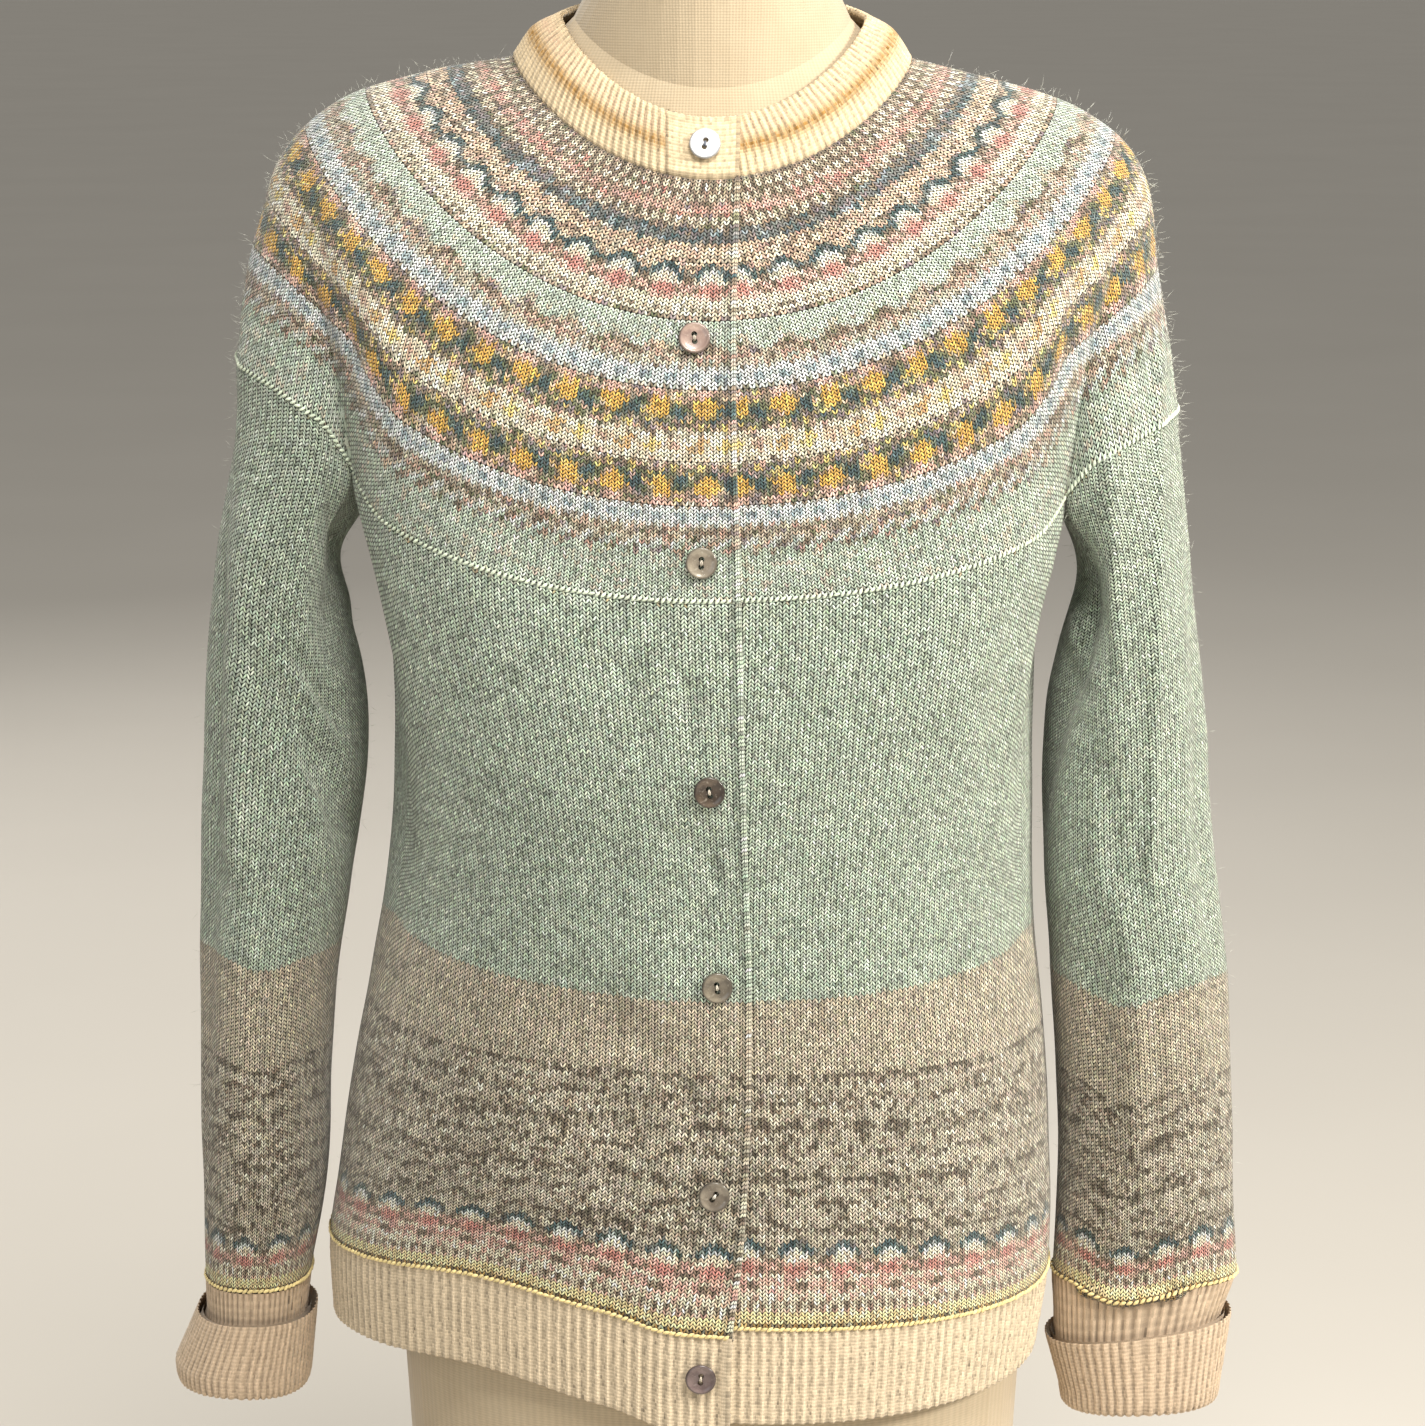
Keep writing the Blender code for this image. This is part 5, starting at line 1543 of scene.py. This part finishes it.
def chain_along(name, point, share_to_angle, reach, count, look, slot, over=None, shape=None):
    """Loops of yarn in a row on a surface. look gives their sizes, tone, lift and lean."""
    sizes, tone, lift, lean = look
    share = (np.arange(count) + 0.5) / count
    angle = share_to_angle(share, np.full(count, reach))
    near = np.stack([share_to_angle(np.clip(share + d, 0, 1), np.full(count, reach))
                     for d in (-0.001, 0.001)])
    spots, ends = point(angle, reach), point(near, reach)
    if over is not None:
        spots, ends = over(spots, share), over(ends, np.stack([share, share]))
    along = unit(ends[1] - ends[0])
    above = point(angle, reach) - point(angle, reach - 0.01)
    normal = unit(np.cross(above, along))
    if shape is not None:
        spots = spots + normal * shape(spots, normal)[:, None]
    colours = linear(*tone) * (1 + 0.10 * rng.standard_normal((count, 1)))
    colours = np.clip(colours, 0, BRIGHTEST)
    centres = spots + normal * (lift * (1 + 0.3 * rng.standard_normal((count, 1))))
    return beads(name, centres, along, normal, sizes, colours, slot, lean)


def make_button(number, spot, out, materials):
    """A dished disc, turned in fine steps, with two holes and thread through them."""
    radius, thick = BUTTON_RADIUS, BUTTON_THICKNESS
    profile = [
        (0.0, thick - 0.00070),
        (0.0022, thick - 0.00070),
        (0.0040, thick - 0.00060),
        (0.0050, thick - 0.00040),
        (0.0055, thick - 0.00008),
        (0.0059, thick),
        (0.0063, thick - 0.00010),
        (0.00662, thick - 0.0005),
        (radius, thick - 0.0011),
        (0.0064, 0.0006),
        (0.0056, 0.0001),
        (0.0030, 0.0),
        (0.0, 0.0),
    ]
    steps = DISC_STEPS
    mesh = bpy.data.meshes.new(f"disc_{number}")
    points, faces = [(0.0, 0.0, profile[0][1])], []
    for r, z in profile[1:-1]:
        for j in range(steps):
            a = 2 * math.pi * j / steps
            points.append((r * math.cos(a), r * math.sin(a), z))
    points.append((0.0, 0.0, 0.0))
    rings = len(profile) - 2
    for j in range(steps):
        k = (j + 1) % steps
        faces.append((0, 1 + j, 1 + k))
        for i in range(rings - 1):
            a, b = 1 + i * steps, 1 + (i + 1) * steps
            faces.append((a + j, b + j, b + k, a + k))
        last = 1 + (rings - 1) * steps
        faces.append((last + j, len(points) - 1, last + k))
    mesh.from_pydata(points, [], faces)
    mesh.shade_smooth()
    disc = add(mesh, f"shell_button_{number}")
    for side in (-1, 1):
        hole = bpy.data.meshes.new("hole")
        bore, across = HOLE_RADIUS * 1.35, side * HOLE_SPACING / 2
        ring = [(bore * math.cos(a), bore * math.sin(a) + across)
                for a in np.linspace(0, 2 * math.pi, HOLE_STEPS, endpoint=False)]
        verts = [(x, y, z) for z in (-0.002, 0.005) for x, y in ring]
        low = np.arange(HOLE_STEPS)
        high = low + HOLE_STEPS
        walls = np.stack([low, np.roll(low, -1), np.roll(high, -1), high], axis=-1)
        hole.from_pydata(verts, [], walls.tolist() + [low[::-1].tolist(), high.tolist()])
        cutter = add(hole, "hole")
        cut = disc.modifiers.new("cut", "BOOLEAN")
        cut.object, cut.operation, cut.solver = cutter, "DIFFERENCE", "EXACT"
        shown = bpy.context.evaluated_depsgraph_get()
        cleaned = bpy.data.meshes.new_from_object(disc.evaluated_get(shown))
        disc.modifiers.clear()
        disc.data = cleaned
        bpy.data.objects.remove(cutter, do_unlink=True)
    disc.data.shade_smooth()
    disc.data.set_sharp_from_angle(angle=math.radians(50))
    disc.data.materials.clear()
    disc.data.materials.append(materials[0])
    disc.data.name = disc.name
    turn = Vector(out).to_track_quat("Z", "Y")
    spin = BUTTON_SPIN[number - 1]
    matrix = turn.to_matrix().to_4x4()
    matrix = Matrix.Translation(Vector(spot) + Vector(out) * BUTTON_GAP) @ matrix
    matrix = matrix @ Matrix.Rotation(math.radians(spin), 4, "Z")
    disc.matrix_world = matrix
    strands = []
    for offset in (-0.00030, 0.00030):
        line = []
        for t in np.linspace(0, 1, 9):
            y = (t - 0.5) * HOLE_SPACING * 0.72
            rise = math.sin(math.pi * t)
            z = thick - 0.0012 + 0.00115 * rise**0.6
            line.append((offset * (0.5 + 0.5 * rise), y, z))
        strands.append(line)
    tube = tubes(f"thread_{number}", strands, THREAD_RADIUS, materials[1])
    tube.matrix_world = matrix
    declare(disc, "shell", f"button_{number}")
    declare(tube, "neck_ribbing")


def tubes(name, lines, radius, material, sides=6):
    points, faces = [], []
    for line in lines:
        line = np.array(line)
        ahead = unit(np.gradient(line, axis=0))
        first = unit(np.cross(ahead, (0.0, 0.1, 1.0) + 0 * ahead))
        second = np.cross(ahead, first)
        start = len(points)
        for p, a, b in zip(line, first, second):
            for s in range(sides):
                t = 2 * math.pi * s / sides
                points.append(tuple(p + radius * (a * math.cos(t) + b * math.sin(t))))
        for i in range(len(line) - 1):
            for s in range(sides):
                q = (s + 1) % sides
                one, two = start + i * sides, start + (i + 1) * sides
                faces.append((one + s, one + q, two + q, two + s))
        faces.append(tuple(start + s for s in range(sides))[::-1])
        faces.append(tuple(start + (len(line) - 1) * sides + s for s in range(sides)))
    mesh = bpy.data.meshes.new(name)
    mesh.from_pydata(points, [], faces)
    mesh.shade_smooth()
    mesh.materials.append(material)
    return add(mesh, name)


FIBRE_RADIUS, FIBRE_COLOUR = 0.000060, (236, 234, 224)


def fuzz(name, slot, place, shape, count, spread, lengths=(0.0030, 0.0100)):
    """Fine fibres that stand off a knitted surface. spread(part) gives their rows."""
    share, row = rng.random(count), spread(rng.random(count))
    near = 0.002
    here = place(share, row)
    right = place(np.clip(share + near, 0, 1), row) - place(np.clip(share - near, 0, 1), row)
    under = place(share, row + near) - here
    normal = unit(np.cross(under, right))
    here = here + normal * (shape(here, normal) - 0.0002)[:, None]
    right = unit(right)
    under = np.cross(right, normal)
    turn = rng.random(count) * 2 * math.pi
    lie = right * np.cos(turn)[:, None] + under * np.sin(turn)[:, None]
    stand = (0.15 + 0.75 * rng.random(count))[:, None]
    way = unit(lie * (1 - stand) + normal * stand)
    long = (lengths[0] + (lengths[1] - lengths[0]) * rng.random(count) ** 2.5)[:, None]
    side = unit(np.cross(way, normal))
    other = np.cross(way, side)
    bend = (rng.random((count, 1)) - 0.5) * 0.3 * long * side
    middle = here + way * long * 0.55 + bend
    ring = [middle + FIBRE_RADIUS * (side * math.cos(t) + other * math.sin(t))
            for t in (0.0, 2.094, 4.189)]
    points = np.stack([here, *ring, here + way * long], axis=1).reshape(-1, 3)
    pattern = np.array([(0, 2, 1), (0, 3, 2), (0, 1, 3), (4, 1, 2), (4, 2, 3), (4, 3, 1)])
    faces = (np.arange(count)[:, None, None] * 5 + pattern).reshape(-1, 3)
    tone = linear(*FIBRE_COLOUR) * (1 + 0.12 * rng.standard_normal((count, 1)))
    tone = np.repeat(np.clip(tone, 0, BRIGHTEST), len(pattern), axis=0)
    cells = math.ceil(math.sqrt(len(faces)))
    cell = np.stack(np.divmod(np.arange(len(faces)), cells), axis=-1)[:, None, :]
    corner = np.array([(0.1, 0.1), (0.9, 0.1), (0.1, 0.9)])
    mesh = mesh_of(name, points, faces, tone,
                   {"OFBake": (cell + corner) / cells * 0.98 + 0.01})
    mesh.materials.append(FIBRES)
    return declare(add(mesh, name), slot)


BUTTONS = (
    ("neckband", 0.52),
    ("yoke", 0.372),
    ("yoke", 0.905),
    ("body", 0.226),
    ("body", 0.471),
    ("body", 0.719),
    ("hem", 0.935),
)
BUTTON_SPIN = (-12.0, 4.0, -3.0, 12.0, 8.0, -35.0, -6.0)
BUTTON_LOOKS = (
    ((214, 216, 220), (250, 250, 250), (170, 176, 186), (120, 126, 140)),
    ((140, 118, 108), (176, 152, 138), (206, 190, 176), (214, 204, 186)),
    ((122, 112, 98), (156, 146, 128), (196, 188, 170), (214, 204, 186)),
    ((58, 48, 40), (96, 82, 68), (190, 180, 164), (224, 214, 196)),
    ((96, 88, 76), (140, 130, 112), (184, 176, 158), (226, 218, 200)),
    ((100, 90, 78), (138, 128, 112), (176, 168, 150), (240, 234, 220)),
    ((92, 76, 74), (126, 108, 104), (156, 142, 136), (220, 208, 186)),
)


def make_buttons():
    for number, ((piece, down), looks) in enumerate(zip(BUTTONS, BUTTON_LOOKS), start=1):
        point, under = {
            "neckband": (neck_point, NECK_RIB),
            "yoke": (yoke_point, KNIT),
            "body": (body_point, KNIT),
            "hem": (body_point, RIB),
        }[piece]
        angle = front_angle(point, down, reader(LAP, point(FRONT, down)[2])("button_x"))
        near = angle + BUTTON_ARC * np.array([-1.0, 0.0, 1.0])
        spots = lapped(point(near, down), under)
        along = point(angle, down + BUTTON_SPAN) - point(angle, down - BUTTON_SPAN)
        out = np.cross(spots[2] - spots[0], along)
        out /= np.linalg.norm(out)
        out *= -np.sign(out[1])
        dark, light, vein, sewn = looks
        materials = (shell(f"shell {number}", dark, light, vein),
                     thread(f"thread {number}", sewn))
        make_button(number, spots[1], out, materials)


def make_form():
    looks = {
        "form_torso": jersey("jersey cover"),
        "form_socket": painted("painted stand"),
    }
    looks["form_pole"] = looks["form_base"] = looks["form_socket"]
    for name, look in looks.items():
        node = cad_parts[name]
        for slot in node.material_slots:
            slot.link = "OBJECT"
            slot.material = look


def make_stage():
    mesh = bpy.data.meshes.new("floor")
    far = 60.0
    mesh.from_pydata([(-far, -far, 0), (far, -far, 0), (far, far, 0), (-far, far, 0)], [],
                     [(0, 1, 2, 3)])
    mesh.materials.append(floor_paint("floor"))
    floor = add(mesh, "floor")

    def lamp(name, size, energy, place, colour):
        light = bpy.data.lights.new(name, "AREA")
        light.shape, light.size, light.energy, light.color = "DISK", size, energy, colour
        made = add(light, name)
        made.location = place
        made.rotation_euler = (TARGET - Vector(place)).to_track_quat("-Z", "Y").to_euler()

    lamp("key", 0.6, 91.0, (2.25, -1.05, 1.85), (1.0, 0.96, 0.89))
    lamp("fill", 1.6, 9.5, (-1.4, -2.2, 1.2), (0.92, 0.96, 1.0))
    lamp("top", 0.8, 36.0, (0.25, -1.0, 2.05), (1.0, 0.97, 0.92))
    lamp("back", 2.0, 26.0, (-1.1, 2.3, 1.9), (1.0, 0.98, 0.95))
    world = bpy.data.worlds.new("studio")
    world.use_nodes = True
    ground = world.node_tree.nodes["Background"]
    ground.inputs["Color"].default_value = (0.80, 0.79, 0.76, 1.0)
    ground.inputs["Strength"].default_value = 0.45
    scene.world = world
    scene.view_settings.view_transform = "Standard"


def make_ridge():
    """The chain of purl stitches that stands up where the yoke ends."""
    low, high = 0.985, 0.9993

    def over(points, share):
        return lapped_half(points, share, KNIT)

    angle_at = evenly(yoke_point, yoke_edges, low, high, rings=3)
    look = ((0.00150, 0.00072, 0.00060), (214, 225, 202), 0.00025, 0.80)
    return chain_along("purl_ridge", yoke_point, angle_at, high, 456, look, "yoke_knit", over,
                       crease_shape(YOKE_CREASES))


GOLD_LOOPS = ((0.00165, 0.00085, 0.00085), (230, 210, 150), 0.00050, 0.50)


def make_cords():
    """The chains of gold purl stitches between the plain knit and the ribbing."""
    down = (BODY_TOP - RIB_TOP - SEAM_UP) / BODY_LENGTH
    made = {}
    for name, count in (("right", 92), ("left", 92), ("back", 150)):
        edges = BODY_EDGES[name]
        angle_at = evenly(body_point, edges, down - 0.01, down + 0.01, rings=3)
        over = (lambda points, share: lapped(points, RIB)) if name == "right" else None
        made[name] = chain_along(f"gold_cord_{name}", body_point, angle_at, down, count,
                                 GOLD_LOOPS, "body_knit", over)
    for side, name, _, _, sag in SLEEVES:

        def point(angle, reach, side=side, sag=sag):
            return sagging(side, *floats(angle, reach), sag)

        angle_at = evenly(point, sleeve_edges(side), 0.97, 1.0, rings=3)
        made[name] = chain_along(f"gold_cord_{name}", point, angle_at, 0.9985, 78, GOLD_LOOPS,
                                 "sleeve_knit")
    return made


def make_fuzz():
    """The haze of mohair over the yoke and the upper arms, and a little on the body."""
    made = {}
    low, high = 0.03, 0.995
    yoke_angle = evenly(yoke_point, yoke_edges, low, high)

    def on_yoke(share, row):
        return lapped_half(yoke_point(yoke_angle(share, row), row), share, KNIT)

    made["yoke"] = fuzz("fuzz_yoke", "yoke_knit", on_yoke, crease_shape(YOKE_CREASES), 6500,
                        lambda part: low + (high - low) * part**0.62)
    for side, name, creases, _, sag in SLEEVES:

        def on_sleeve(share, row, side=side, sag=sag):
            return sagging(side, side * (share * 360.0 - 180.0), row, sag)

        made[name] = fuzz(f"fuzz_{name}", "sleeve_knit", on_sleeve, crease_shape(creases), 1500,
                          lambda part: 0.004 + 0.9 * part**2.4, (0.0015, 0.0075))

    def on_body(share, row):
        return body_point(360.0 * share, row)

    def just_outside(points, normals):
        return np.full(points.shape[:-1], 0.0004)

    made["body"] = fuzz("fuzz_body", "body_knit", on_body, just_outside, 1000,
                        lambda part: 0.004 + 0.88 * part**1.9, (0.002, 0.005))
    return made


def make_sheets(made):
    """Takes the body's three pieces and the neck's two pieces out of made, and does nothing
    more.
    """
    front_right, front_left, back = made["body"]
    band, tab = made["neck"]


make_camera()
make_stage()
make_form()
made = {
    "yoke": make_yoke(),
    "body": make_body(),
    "sleeves": make_sleeves(),
    "hem": make_hem(),
    "cuffs": make_cuffs(),
    "neck": make_neckband(),
    "ridge": make_ridge(),
    "cords": make_cords(),
    "fuzz": make_fuzz(),
}
make_buttons()
make_sheets(made)
